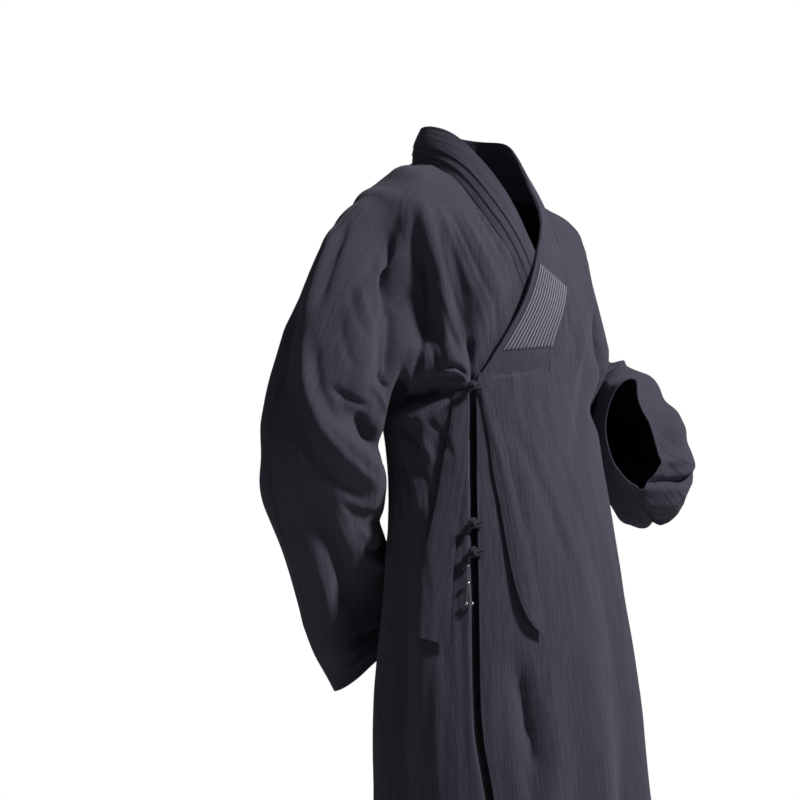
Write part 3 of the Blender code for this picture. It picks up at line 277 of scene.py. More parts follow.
LEFT_SLEEVE = np.array([
    (0, 0.164, 0.014, -0.2, 0, 0.002, 0.106, 0, -0.066, 0),
    (0.16, 0.18, 0.036, -0.205, 0.018, 0.004, 0.088, 0.002, -0.062, 0),
    (0.34, 0.205, 0.048, -0.265, 0.046, 0.01, 0.046, 0, -0.062, 0.012),
    (0.54, 0.25, 0.04, -0.322, 0.058, 0.028, 0.02, -0.02, -0.052, 0.064),
    (0.72, 0.27, -0.004, -0.37, 0.06, -0.014, -0.014, -0.02, -0.02, 0.104),
    (0.86, 0.24, -0.056, -0.38, 0.052, -0.042, -0.018, -0.01, -0.008, 0.105),
    (1, 0.192, -0.092, -0.352, 0.032, -0.026, -0.006, -0.008, -0.008, 0.072),
])
# Main creases of the sleeves: around and share of both ends, bend, depth, width.
RIGHT_SLEEVE_CREASES = np.array([
    (0.06, -0.1, 0.34, 0.4, 0.006, -0.0188, 0.023),
    (-0.04, 0, 0.07, 0.42, 0, 0.0116, 0.028),
    (0.04, 0.34, 0.4, 0.68, 0.012, 0.013, 0.023),
    (0.1, 0.37, 0.44, 0.53, -0.01, -0.0188, 0.023),
    (0.14, 0.62, 0.44, 0.75, 0, -0.0116, 0.016),
    (0.02, 0.5, 0.22, 0.98, 0.01, -0.0116, 0.023),
    (-0.06, 0.46, 0.1, 1.1, 0.01, 0.0101, 0.025),
    (-0.22, 0.2, -0.08, 0.6, 0.01, -0.0116, 0.025),
    (-0.34, 0.42, -0.1, 0.86, 0.01, -0.0145, 0.025),
    (-0.46, 0.5, -0.24, 0.72, 0, 0.0116, 0.023),
    (-0.3, 0.74, -0.2, 1.2, 0, 0.0101, 0.023),
])
LEFT_SLEEVE_CREASES = np.array([
    (0.08, -0.1, 0.32, 0.4, 0.006, -0.0143, 0.023),
    (-0.3, 1.12, 0.06, 0.8, 0, 0.0117, 0.017),
    (-0.4, 1.05, -0.04, 0.66, 0, -0.013, 0.021),
    (0.05, 0.42, 0.36, 0.62, 0.01, -0.013, 0.021),
    (0, 0.56, 0.22, 0.86, 0.006, 0.0104, 0.021),
    (0.14, 0.66, 0.2, 1.06, 0, -0.0091, 0.018),
    (-0.26, 0.26, -0.06, 0.6, 0.01, -0.013, 0.025),
    (-0.16, 0.4, 0.02, 0.8, 0.006, 0.0104, 0.023),
    (-0.46, 0.4, -0.26, 0.74, 0, -0.0117, 0.023),
])
# Sharp folds of the sleeves, through three points: around and share of each, depth, width, lean.
RIGHT_SLEEVE_FOLDS = np.array([
    # the deep fold where the sleeve meets the chest
    (0.105, 0.02, 0.16, 0.068, 0.22, 0.128, -0.011, 0.0075, 0.7),
    (0.19, 0.095, 0.25, 0.165, 0.33, 0.3, -0.006, 0.006, 0.7),
    (0.11, 0.06, 0.16, 0.12, 0.215, 0.215, 0.005, 0.009, 1),
    # the long ridge down the outer side and the troughs beside it
    (-0.085, 0.2, -0.06, 0.34, -0.02, 0.52, 0.0075, 0.022, 1),
    (0.005, 0.075, 0.036, 0.17, 0.048, 0.262, -0.0065, 0.0085, 0.7),
    (-0.02, 0.08, 0.012, 0.175, 0.026, 0.3, 0.005, 0.0095, 1),
    (-0.07, 0.18, -0.02, 0.3, 0.04, 0.42, -0.005, 0.01, 0.8),
    (0.03, 0.27, 0.13, 0.445, 0.33, 0.622, 0.006, 0.008, 0.8),
    (0.055, 0.28, 0.135, 0.4, 0.215, 0.47, -0.0045, 0.0065, 1),
    (0.075, 0.43, 0.16, 0.545, 0.3, 0.64, -0.0055, 0.0085, 1),
    # the bend of the elbow
    (0.13, 0.372, 0.19, 0.388, 0.29, 0.4, -0.0048, 0.006, 0.6),
    (0.22, 0.41, 0.32, 0.47, 0.42, 0.53, -0.007, 0.01, 0.8),
    (0.24, 0.345, 0.31, 0.356, 0.37, 0.41, 0.0045, 0.007, 1),
    (0.29, 0.3, 0.32, 0.318, 0.36, 0.32, -0.005, 0.0055, 1),
    # fine drags on the upper arm
    (0.095, 0.18, 0.15, 0.235, 0.2, 0.262, -0.0018, 0.0055, 1),
    (0.11, 0.25, 0.15, 0.3, 0.205, 0.335, -0.002, 0.0055, 1),
    (0.12, 0.16, 0.175, 0.215, 0.215, 0.232, 0.0014, 0.005, 1),
    # the lower arm
    (0.165, 0.6, 0.24, 0.64, 0.34, 0.662, -0.004, 0.007, 0.8),
    (0.2, 0.66, 0.27, 0.69, 0.37, 0.705, 0.006, 0.008, 1),
    (0.21, 0.695, 0.27, 0.735, 0.36, 0.745, -0.0065, 0.0065, 0.7),
    (0.23, 0.74, 0.29, 0.775, 0.37, 0.78, 0.0055, 0.008, 1),
    (0.11, 0.52, 0.125, 0.64, 0.15, 0.83, -0.0045, 0.011, 0.8),
    (0.05, 0.48, 0.07, 0.62, 0.1, 0.9, 0.004, 0.012, 1),
    (-0.01, 0.44, 0.012, 0.6, 0.03, 0.86, -0.004, 0.012, 1),
    (0.165, 0.7, 0.185, 0.8, 0.2, 0.93, 0.0035, 0.01, 1),
    (0.09, 0.88, 0.15, 0.9, 0.24, 0.94, -0.0045, 0.008, 1),
    (0.06, 0.96, 0.13, 0.955, 0.22, 1, 0.0035, 0.008, 1),
    # the inner side and the back
    (0.42, 0.18, 0.5, 0.33, 0.56, 0.47, -0.006, 0.012, 0.8),
    (0.62, 0.12, 0.7, 0.26, 0.78, 0.48, -0.005, 0.012, 0.8),
    (0.56, 0.52, 0.68, 0.6, 0.8, 0.64, 0.0055, 0.012, 0.8),
    (0.54, 0.64, 0.66, 0.72, 0.8, 0.9, -0.0055, 0.012, 0.8),
    (0.82, 0.3, 0.85, 0.5, 0.88, 0.72, -0.0045, 0.012, 1),
])
LEFT_SLEEVE_FOLDS = np.array([
    # the crease that runs from the lower lip of the cuff to the elbow's point, and the bag below it
    (-0.175, 1.02, -0.1, 0.96, -0.005, 0.84, -0.017, 0.0055, 0.5),
    (-0.15, 1.06, -0.06, 0.985, 0.035, 0.85, 0.009, 0.0065, 0.7),
    (-0.06, 0.96, -0.01, 0.89, 0.03, 0.8, 0.007, 0.014, 1),
    (-0.33, 1, -0.24, 0.93, -0.12, 0.86, -0.008, 0.009, 0.7),
    (-0.26, 1.02, -0.18, 0.96, -0.09, 0.9, 0.008, 0.008, 1),
    (0.04, 0.96, 0.07, 0.88, 0.06, 0.76, 0.003, 0.009, 1),
    (0.13, 0.98, 0.14, 0.86, 0.11, 0.7, -0.003, 0.009, 1),
    (0.08, 0.08, 0.15, 0.18, 0.26, 0.3, -0.007, 0.009, 0.8),
    (0.01, 0.06, 0.04, 0.22, 0.08, 0.42, 0.004, 0.01, 1),
    (-0.08, 0.14, -0.03, 0.32, 0.03, 0.52, -0.0045, 0.01, 0.8),
    (0.12, 0.42, 0.24, 0.5, 0.38, 0.54, -0.007, 0.01, 0.7),
    (0.1, 0.5, 0.22, 0.59, 0.36, 0.64, 0.005, 0.01, 1),
    (0.42, 0.5, 0.5, 0.62, 0.56, 0.8, -0.005, 0.011, 0.8),
    (0.6, 0.24, 0.72, 0.38, 0.82, 0.6, -0.0055, 0.012, 0.8),
    (0.56, 0.56, 0.66, 0.72, 0.7, 0.9, 0.005, 0.012, 1),
    (0.82, 0.42, 0.84, 0.62, 0.8, 0.86, -0.0045, 0.011, 1),
])

# ---- ties: turn and level of the right edge and of the left edge ----
TIE_RIGHT = np.array([
    (-50.8, 0.299, -42.4, 0.299), (-54, 0.332, -44.4, 0.332), (-59, 0.366, -47.4, 0.366),
    (-63, 0.398, -50.2, 0.398), (-69.5, 0.466, -56, 0.466), (-77.5, 0.537, -59.6, 0.541),
    (-82, 0.6, -61.5, 0.612),
])
TIE_LEFT = np.array([
    (-37.6, 0.297, -34.6, 0.297), (-37, 0.326, -31.5, 0.326), (-36.6, 0.366, -29, 0.366),
    (-36.4, 0.398, -27.6, 0.398), (-34.5, 0.444, -25.6, 0.444), (-32.8, 0.498, -22.8, 0.498),
    (-30.6, 0.544, -20.4, 0.544), (-27.6, 0.574, -19.2, 0.58), (-25, 0.589, -19.4, 0.602),
])
TIE_LIFT, TIE_ROWS, TIE_FOLD = (0.0030, 0.0072), 150, 0.0008
TIE_SHARES = np.concatenate([[0, 0.015, 0.04], np.linspace(0.09, 0.91, 16), [0.96, 0.985, 1.0]])

# ---- knots, loops, patch ----
KNOTS = np.array([(-41.0, 0.2925), (-48.6, 0.4640), (-49.2, 0.4990)])
KNOT_RADII = (0.0062, 0.0070, 0.0070)
KNOT_LIFT, KNOT_CORD, KNOT_CORE, KNOT_RIPPLE = 0.0125, 0.30, 0.66, 0.13  # the last three by the radius
LOOP_LIFT, LOOP_RADIUS, LOOP_REACH = 0.0032, 0.0016, 0.62                # the last by the knot's radius
LOOP_TAIL, LOOP_APART = np.radians(4.6), 0.0026
# The patch: collar stations of its foot and of its head, at either side; shares across the top ply.
QUILT_FROM, QUILT_TO, QUILT_SHARES = (1.45, 1.35), (5.35, 6.00), (0.02, 0.92)
QUILT_COUNT, QUILT_RADIUS, PATCH_SIZE = 14, 0.00070, (0.055, 0.12)
# Beads: turn in degrees and level; the threads run from their head to beads 0, 1, and from 1 to 2, 3.
BEADS = ((-51.9, 0.5150), (-52.2, 0.5360), (-53.4, 0.5610), (-50.8, 0.5610))
BEAD_RADIUS, BEAD_FLATNESS, BEAD_LIFT = 0.0031, 0.82, 0.0045
BEAD_HEAD, BEAD_THREAD = (-51.0, 0.5045, 0.0075), 0.00038
STITCH_LENGTH, STITCH_RADIUS, STITCH_PITCH = 0.0026, 0.00028, 0.0036
COLLAR_INSETS, HEM_INSET, EDGE_INSET = (0.0026, 0.0032), 0.022, 0.0060


# ---------------------------------------------------------------- curves and fields

def hermite(t, span, start, start_slope, end, end_slope):
    """Cubic from start, at t = 0, to end, at t = 1, with the slopes given for a span of 1."""
    return (
        (2 * t**3 - 3 * t**2 + 1) * start
        + (t**3 - 2 * t**2 + t) * span * start_slope
        + (3 * t**2 - 2 * t**3) * end
        + (t**3 - t**2) * span * end_slope
    )


def smooth(at, stations, values):
    """Hermite curve through the rows, whose slope at a row is the mean of the chords beside it."""
    at, stations, values = (np.asarray(given, float) for given in (at, stations, values))
    chords = np.diff(values, axis=0) / np.diff(stations).reshape(-1, *[1] * (values.ndim - 1))
    slopes = np.concatenate([chords[:1], (chords[1:] + chords[:-1]) / 2, chords[-1:]])
    index = np.clip(np.searchsorted(stations, at, side="right") - 1, 0, len(stations) - 2)
    span = stations[index + 1] - stations[index]
    t = (at - stations[index]) / span
    shape = at.shape + (1,) * (values.ndim - 1)
    t, span = t.reshape(shape), span.reshape(shape)
    return hermite(t, span, values[index], slopes[index], values[index + 1], slopes[index + 1])


def ease(value):
    """0 below 0, 1 above 1, and 3v^2 - 2v^3 between."""
    value = np.clip(value, 0, 1)
    return value * value * (3 - 2 * value)


def bell(offset, width):
    """exp(-(offset / width)^2)."""
    return np.exp(-((offset / width) ** 2))


def mix(start, end, share):
    """start + (end - start) * share."""
    return start + (end - start) * share


def wrapped(turn):
    """The turn taken round to between -pi and pi."""
    return turn - 2 * np.pi * np.round(turn / (2 * np.pi))


def unit(vectors):
    """The vectors, each over its length."""
    return vectors / np.maximum(np.linalg.norm(vectors, axis=-1, keepdims=True), 1e-12)


def distances(line):
    """Distance of each of a line's points along it, from the first."""
    return np.concatenate([[0], np.cumsum(np.linalg.norm(np.diff(line, axis=0), axis=1))])


def even_points(line, count):
    """Points at even distances along the smooth curve through the line's points."""
    distance = distances(line)
    return smooth(np.linspace(0, 1, count), distance / distance[-1], line)


def soften(values, passes):
    """The values along the first axis, each pass the mean of itself and its neighbours' mean."""
    for _ in range(passes):
        inner = values[1:-1] * 0.5 + (values[2:] + values[:-2]) * 0.25
        values = np.concatenate([values[:1], inner, values[-1:]])
    return values


def beside(across, along, start_x, start_y, end_x, end_y):
    """Share along the chord between two points, and distance aside of it."""
    chord_x, chord_y = end_x - start_x, end_y - start_y
    length = np.hypot(chord_x, chord_y)
    dx, dy = across - start_x, along - start_y
    return (dx * chord_x + dy * chord_y) / length**2, (dx * chord_y - dy * chord_x) / length


def creases(across, along, table):
    """Sum of soft ridges and troughs: depth * exp(-(aside / width)^2), where aside is the distance from
    a chord that bends as 4 * share * (1 - share), faded over the last third at each end."""
    total = np.zeros(np.broadcast(across, along).shape)
    for *ends, bend, depth, width in table:
        share, aside = beside(across, along, *ends)
        aside = aside - bend * 4 * share * (1 - share)
        total += depth * bell(aside, width) * ease(np.minimum(share, 1 - share) * 3)
    return total


def folds(across, along, table):
    """Sum of sharp folds: depth * exp(-(aside / width)^2), where aside is the distance from the parabola
    through the fold's three points, faded over the last quarter at each end. On the positive side the
    width is `lean` times as large."""
    total = np.zeros(np.broadcast(across, along).shape)
    for start_x, start_y, mid_x, mid_y, end_x, end_y, depth, width, lean in table:
        ends = start_x, start_y, end_x, end_y
        mid_share, mid_aside = beside(mid_x, mid_y, *ends)
        mid_share = np.clip(mid_share, 0.2, 0.8)
        bend = mid_aside / (4 * mid_share * (1 - mid_share))
        share, aside = beside(across, along, *ends)
        aside = aside - bend * 4 * share * (1 - share)
        fade = ease(np.minimum(share, 1 - share) * 4)
        total += depth * bell(aside, np.where(aside > 0, width * lean, width)) * fade
    return total


def crumple(across, along, size, seed, girth):
    """Smooth random height between -1 and 1: random values on a lattice of size[0] by size[1] metres,
    joined by the step 3t^2 - 2t^3. Across, the lattice closes on itself after `girth` metres."""
    rows, columns = 211, max(4, round(girth / size[0]))
    values = np.random.default_rng(seed).uniform(-1, 1, (rows, columns))
    x, y = across * columns / girth, along / size[1]
    column, row = np.floor(x).astype(int), np.floor(y).astype(int)
    tx, ty = ease(x - column), ease(y - row)

    def lattice(down, aside):
        return values[(row + down) % rows, (column + aside) % columns]
    return mix(mix(lattice(0, 0), lattice(0, 1), tx), mix(lattice(1, 0), lattice(1, 1), tx), ty)


def crinkle(across, along, girth, seed):
    """Height of the linen's own crinkle: lengthwise creases of three sizes, which wander sideways, over
    a broad unevenness."""
    wander = WANDER[0] * crumple(across, along, WANDER[1], seed, girth)
    total = UNEVEN[0] * crumple(across, along, UNEVEN[1], seed + 3, girth)
    for height, size, more in CRINKLE:
        total += height * crumple(across + wander, along, size, seed + more, girth)
    return total


def surface_normals(surface, u, v, step=1e-4):
    """Normals of surface(u, v), from small steps both ways, as (change along u) x (change along v)."""
    along_u = surface(u + step, v) - surface(u - step, v)
    along_v = surface(u, v + step) - surface(u, v - step)
    return unit(np.cross(along_u, along_v))


def grid_normals(points, closed=False):
    """Normals of a grid of points, as (change along the columns) x (change along the rows)."""
    if closed:
        across = np.roll(points, -1, axis=1) - np.roll(points, 1, axis=1)
    else:
        across = np.gradient(points, axis=1)
    return unit(np.cross(across, np.gradient(points, axis=0)))


# ---------------------------------------------------------------- the body of the robe

def left_drop(across, level):
    """How far the left shoulder hangs below the right: it grows out to the neck's side, and goes by
    the armpits."""
    return LEFT_DROP * ease(across / DROP_ACROSS) * (1 - ease((level - DROP_LEVEL) / DROP_FADE))


def form(turn, level):
    """Plain body: rings (half_width * sin turn, side_y + (end_y - side_y) * |cos turn|), at the height
    side_z + (end_z - side_z) * cos^2 turn, less the left shoulder's drop."""
    ring = smooth(level, RINGS[:, 0], RINGS[:, 1:])
    half_width, front_y, back_y, side_y, side_z, front_z, back_z = np.moveaxis(ring, -1, 0)
    facing = np.cos(turn)
    end_y = np.where(facing > 0, front_y, back_y)
    end_z = np.where(facing > 0, front_z, back_z)
    across = half_width * np.sin(turn)
    return np.stack([
        across,
        mix(side_y, end_y, np.abs(facing)),
        mix(side_z, end_z, facing**2) - left_drop(across, level),
    ], -1)


def in_metres(table, places):
    """The table with the turns in the named columns changed from degrees to metres of cloth."""
    table = table.copy()
    table[:, places] = np.radians(table[:, places]) * RADIUS
    return table


def body_relief(turn, level):
    """Height of the creases, the folds, the crinkle and the swells over the plain body, the same from
    either side of the back. The cloth under the blousing is crumpled as well."""
    soft = in_metres(BODY_CREASES, [0, 2])
    sharp = in_metres(BODY_FOLDS, [0, 2, 4])
    chest = in_metres(CHEST_FOLDS, [0, 2, 4])
    under = beside_edge(turn, level)
    across = turn * RADIUS
    total = crinkle(across, level, BODY_GIRTH, 11)
    for at, width, depth, height, rise, grown in SWELLS:
        bulge = rise * bell(wrapped(turn) - at, width) * bell(level - depth, height)
        total += bulge * ease(grown + level / 0.03)
    bunch_turn, bunch_width, bunch_level, bunch_height, bunch_rise, lattice = BUNCH
    crumpled = bunch_rise * crumple(across, level, lattice, 31, BODY_GIRTH)
    crumpled *= bell(level - bunch_level, bunch_height)
    for circle in (-BODY_GIRTH, 0.0, BODY_GIRTH):
        place_on = across + circle, level
        total += creases(*place_on, soft) + folds(*place_on, sharp) + folds(*place_on, chest) * under
        total += bell(place_on[0] / RADIUS - bunch_turn, bunch_width) * crumpled
    return total


def beside_edge(turn, level):
    """1 on the under front beside the over front's edge, 0 on the over front."""
    return ease((over_reach(level) - EDGE_CLEAR - wrapped(turn)) / EDGE_BLEND)


def blouse_drop(turn, level):
    """How far the bloused chest hangs over the waist below the knot: a bell down the level, from the
    over front's edge round to the side."""
    round_ = wrapped(turn)
    reach = beside_edge(turn, level) * ease((round_ - BLOUSE_FADE[0]) / BLOUSE_FADE[1])
    outer = ease((round_ - BLOUSE_GROW[0]) / BLOUSE_GROW[1])
    fall = BLOUSE_FALL[0] + BLOUSE_FALL[1] * outer
    return fall * bell(level - BLOUSE_LEVEL - BLOUSE_LOWER * outer, BLOUSE_HEIGHT) * reach


def body_outward(turn, level):
    """Outward directions of the plain body. At the neck they are read a little below the edge."""
    return -surface_normals(form, turn, np.clip(level, NECK_STEP, None))


def body_point(turn, level, lift=0.0):
    """Point of the worn cloth: the plain body moved out by the relief and by lift, and the blousing let
    down."""
    turn, level = np.asarray(turn, float), np.asarray(level, float)
    out = np.asarray(body_relief(turn, level) + lift)
    points = form(turn, level) + body_outward(turn, level) * out[..., None]
    points[..., 2] -= blouse_drop(turn, level)
    return points


def place(across, height):
    """Turn and level of the front's point `across` from the middle, at `height`, read back from a run
    of levels."""
    levels = np.linspace(0, HEM_LEVEL, PLACE_STEPS)
    ring = smooth(levels, RINGS[:, 0], RINGS[:, 1:])
    found = []
    for x, z in np.column_stack([np.ravel(across), np.ravel(height)]):
        sine = np.clip(x / ring[:, 0], -1, 1)
        heights = mix(ring[:, 4], ring[:, 5], 1 - sine**2)
        heights = heights - left_drop(ring[:, 0] * sine, levels)
        level = np.interp(-z, -heights, levels)
        found.append((np.arcsin(np.interp(level, levels, sine)), level))
    return np.array(found).T


def seam_line(rows):
    """(turn, level) of the neck seam's rows, from the neck point to the foot of the collar."""
    turn, level = place(rows[:, 0], rows[:, 1])
    turn[0], level[0] = np.copysign(np.pi / 2, rows[0, 0]), 0.0
    distance = distances(form(turn, level))
    share = distance / distance[-1]
    at = np.linspace(0, 1, NECK_ROWS * FINE + 1)
    return smooth(at, share, turn), smooth(at, share, level)


def edge_turn(edge, level):
    """Turn of a front's own edge below the collar."""
    return np.radians(smooth(level, edge[:, 0], edge[:, 1]))


def over_reach(level):
    """Turn of the over front's free edge: the collar's edge, then the front edge."""
    turn, at = place(OVER_FREE[4:, 0], OVER_FREE[4:, 2])
    levels = np.concatenate([[0.0], at, OVER_EDGE[1:, 0]])
    turns = np.concatenate([[np.pi / 2], turn, np.radians(OVER_EDGE[1:, 1])])
    return np.interp(level, levels, turns)


def under_lift(turn, level):
    """How far the under layers turn in below the over front: a long slope on the chest, a short sharp
    one beside the slit."""
    turn_in = mix(CHEST_TURN_IN, SLIT_TURN_IN, ease((level - LAP_LEVEL) / 0.05))
    start = over_reach(level) - SLIT_MARGIN - turn_in
    hollow = SLIT_HOLLOW * bell(turn - over_reach(level) + np.radians(0.4), np.radians(2.4))
    return -LAP_DEPTH * ease((turn - start) / turn_in) - hollow * ease((level - SLIT_LEVEL) / 0.03)


def no_lift(turn, level):
    """0 everywhere."""
    return np.zeros(np.broadcast(turn, level).shape)


def foot_line(turn):
    """Level of the collar's foot on the over front, straight from the neck seam's end to the front edge,
    and how far along it the turn is."""
    turns, levels = seam_line(OVER_SEAM)
    end_turn, end_level = np.radians(OVER_EDGE[0, 1]), OVER_EDGE[0, 0]
    share = (turn - turns[-1]) / (end_turn - turns[-1])
    return mix(levels[-1], end_level, share), share


def foot_tuck(turn, level):
    """How far the over front's top edge sinks in under the collar's foot."""
    line, share = foot_line(turn)
    return -FOOT_TUCK * ease((line + 0.0008 - level) / 0.0030) * ease(share / 0.10) * (level < ARMPIT_LEVEL)


def armhole(around, side):
    """(turn, level) of the armhole: an ellipse from the shoulder tip down the front to the armpit and
    back up behind."""
    angle = 2 * np.pi * np.asarray(around, float)
    middle, half = (SHOULDER_LEVEL + ARMPIT_LEVEL) / 2, (ARMPIT_LEVEL - SHOULDER_LEVEL) / 2
    return side * (np.pi / 2 - ARMHOLE_TURN * np.sin(angle)), middle - half * np.cos(angle)


def outer_line(side, behind=False):
    """(turn, level) down a panel's outer edge: the armhole, then the side seam."""
    around = np.arange(ARMHOLE_ROWS * FINE + 1) / (SLEEVE_AROUND * FINE)
    turn, level = armhole(-around if behind else around, side)
    share = np.linspace(0, 1, (PANEL_ROWS - ARMHOLE_ROWS) * FINE + 1)[1:]
    below = mix(ARMPIT_LEVEL, HEM_LEVEL, 0.55 * share + 0.45 * share**2)
    return np.append(turn, np.full(len(below), side * np.pi / 2)), np.append(level, below)


def front_inner_line(seam_rows, edge):
    """(turn, level) down a front's inner edge: the neck seam, the foot of the collar, the front edge."""
    turn, level = seam_line(seam_rows)
    foot = (COLLAR_END_ROWS - NECK_ROWS) * FINE
    share = np.arange(1, foot + 1) / foot
    end_turn, end_level = edge_turn(edge, edge[0, 0]), edge[0, 0]
    turn = np.append(turn, mix(turn[-1], end_turn, share))
    level = np.append(level, mix(level[-1], end_level, share))
    share = np.linspace(0, 1, (PANEL_ROWS - COLLAR_END_ROWS) * FINE + 1)[1:]
    below = mix(end_level, HEM_LEVEL, 0.7 * share + 0.3 * share**2)
    return np.append(turn, edge_turn(edge, below)), np.append(level, below)


def front_grid(side):
    """(turn, level) grids of a front, straight in both from the inner edge to the outer. The over
    front's inner edge runs up under the collar's foot."""
    seam_rows, edge = (OVER_SEAM, OVER_EDGE) if side > 0 else (UNDER_SEAM, UNDER_EDGE)
    inner_turn, inner_level = front_inner_line(seam_rows, edge)
    outer_turn, outer_level = outer_line(side)
    share = np.linspace(0, 1, FRONT_COLUMNS * FINE + 1)[None, :]
    if side > 0:
        foot = slice(NECK_ROWS * FINE, COLLAR_END_ROWS * FINE + 1)
        along = np.linspace(0, 1, foot.stop - foot.start)
        inner_level[foot] -= (FOOT_RISE[0] + FOOT_RISE[1] * along) * ease(along / 0.15)
        inner_turn[foot] += FOOT_SHIFT * along**4
    else:
        share = slit_shares(inner_turn, inner_level, outer_turn, share[0])
    turn = mix(inner_turn[:, None], outer_turn[:, None], share)
    return turn, mix(inner_level[:, None], outer_level[:, None], share)


def slit_shares(inner_turn, inner_level, outer_turn, plain):
    """Column shares of the under front: below the collar a band of columns follows the turned-in fold
    beside the slit, and on the chest they go back to even steps."""
    foot = over_reach(inner_level) - SLIT_MARGIN
    across = outer_turn - inner_turn
    rows = np.arange(len(inner_turn)) / FINE
    follow = ease((rows - SLIT_FIRST_ROW) / (COLLAR_END_ROWS - SLIT_FIRST_ROW))
    shares = np.repeat(plain[None, :], len(inner_turn), axis=0)
    for row in np.flatnonzero(follow):
        low = (foot[row] - inner_turn[row]) / across[row]
        high = (foot[row] - SLIT_TURN_IN - inner_turn[row]) / across[row]
        steps = np.interp(plain, [0, *SLIT_COLUMNS, 1], [0, low, high, 1])
        shares[row] += follow[row] * (steps - plain)
    return shares


def back_grid():
    """(turn, level) grids of the back. Its top edge bends round the neck, and that bend fades out down
    to the armpits."""
    columns = SHOULDER_COLUMNS * FINE
    shoulder = SHOULDER_LEVEL * (1 - np.arange(columns) / columns)
    nape = np.linspace(np.pi / 2, 3 * np.pi / 2, NAPE_COLUMNS * FINE + 1)
    top_turn = np.concatenate([np.full(columns, np.pi / 2), nape, np.full(columns, 3 * np.pi / 2)])
    top_level = np.concatenate([shoulder, np.zeros(len(nape)), shoulder[::-1]])
    left_turn, left_level = outer_line(1, behind=True)
    share = np.linspace(0, 1, len(top_turn))
    turn = mix(left_turn[:, None], 2 * np.pi - left_turn[:, None], share)
    level = np.repeat(left_level[:, None], len(share), axis=1)
    rows = np.arange(len(left_turn)) / FINE
    fade = np.clip(1 - rows / (ARMHOLE_ROWS + 4), 0, 1)[:, None] ** 1.6
    return turn + fade * (top_turn - turn[0]), level + fade * (top_level - level[0])


# ---------------------------------------------------------------- meshes

def mesh_piece(name, points, faces, uv, finish):
    """An object at the origin from points, four-cornered or three-cornered faces and a (u, v) in metres
    of cloth for each point."""
    mesh = bpy.data.meshes.new(name)
    sides = faces.shape[1]
    mesh.vertices.add(len(points))
    mesh.vertices.foreach_set("co", points.astype(np.float32).ravel())
    mesh.loops.add(faces.size)
    mesh.loops.foreach_set("vertex_index", faces.astype(np.int32).ravel())
    mesh.polygons.add(len(faces))
    mesh.polygons.foreach_set("loop_start", np.arange(0, faces.size, sides, dtype=np.int32))
    mesh.polygons.foreach_set("loop_total", np.full(len(faces), sides, np.int32))
    layer = mesh.uv_layers.new(name="cloth")
    layer.data.foreach_set("uv", uv[faces.ravel()].astype(np.float32).ravel())
    mesh.update(calc_edges=True)
    mesh.validate()
    mesh.shade_smooth()
    mesh.set_sharp_from_angle(angle=SHARP)
    mesh.materials.append(finish)
    piece = bpy.data.objects.new(name, mesh)
    bpy.context.scene.collection.objects.link(piece)
    return piece


def four_corners(index):
    """Corners of the faces between the rows and columns of an index grid."""
    return index[:-1, :-1], index[:-1, 1:], index[1:, 1:], index[1:, :-1]


def faced_out(points, faces):
    """The faces of a closed skin, turned over if the volume they enclose comes out negative."""
    corners = points[faces] - points.mean(0)
    volume = (corners[:, 0] * np.cross(corners[:, 1:-1], corners[:, 2:]).sum(1)).sum()
    return faces if volume > 0 else faces[:, ::-1]


def shell(outer, normals, thickness, uv, closed=False):
    """Points, faces and (u, v) of a closed wall between a grid and the same grid moved in along the
    normals by the thickness. With `closed` the columns meet round a tube."""
    rows, columns = outer.shape[:2]
    depth = np.broadcast_to(thickness, outer.shape[:2])[..., None]
    points = np.concatenate([outer.reshape(-1, 3), (outer - normals * depth).reshape(-1, 3)])
    both = np.concatenate([uv.reshape(-1, 2)] * 2)
    index = np.arange(rows * columns).reshape(rows, columns)
    if closed:
        index = np.concatenate([index, index[:, :1]], axis=1)
    inside = index + rows * columns
    a, b, c, d = four_corners(index)
    faces = [np.stack([a, d, c, b], -1).reshape(-1, 4)]
    faces.append(np.stack(four_corners(inside), -1).reshape(-1, 4))
    rims = [(index[0], inside[0]), (index[-1, ::-1], inside[-1, ::-1])]
    if not closed:
        rims += [(index[::-1, 0], inside[::-1, 0]), (index[:, -1], inside[:, -1])]
    for edge, below in rims:
        faces.append(np.stack([edge[:-1], edge[1:], below[1:], below[:-1]], -1))
    return points, faced_out(points, np.concatenate(faces)), both


def cloth(name, outer, normals, thickness, uv, finish, closed=False):
    """A piece of cloth: the closed wall between a grid and the grid moved in by the thickness."""
    return mesh_piece(name, *shell(outer, normals, thickness, uv, closed), finish)


def tube(line, radius, sides=8, swell=None):
    """Points, faces and (u, v) of a round cord along a line, closed at both ends. Its ring is carried
    from point to point without twist; `swell` scales the radius at each point."""
    along = unit(np.gradient(line, axis=0))
    side = unit(np.cross(along, np.roll(along, 1, axis=0) + (0.31, 0.17, 0.93)))
    for count in range(1, len(line)):
        moved = side[count - 1] - along[count] * (side[count - 1] * along[count]).sum()
        side[count] = moved / np.linalg.norm(moved)
    other = np.cross(along, side)
    angle = (2 * np.pi * np.arange(sides) / sides)[None, :, None]
    size = radius * (np.ones(len(line)) if swell is None else swell)[:, None, None]
    rounds = line[:, None] + size * (np.cos(angle) * side[:, None] + np.sin(angle) * other[:, None])
    uv = np.stack(np.broadcast_arrays(angle[..., 0] * radius, distances(line)[:, None]), -1)
    return close_rounds(rounds, line[0], line[-1], uv)


def directions(theta, phi, axes):
    """Directions at the angle `phi` from the last of three axes, and `theta` round it."""
    east, north, pole = axes
    theta, phi = theta[..., None], phi[..., None]
    return np.sin(phi) * (np.cos(theta) * east + np.sin(theta) * north) + np.cos(phi) * pole


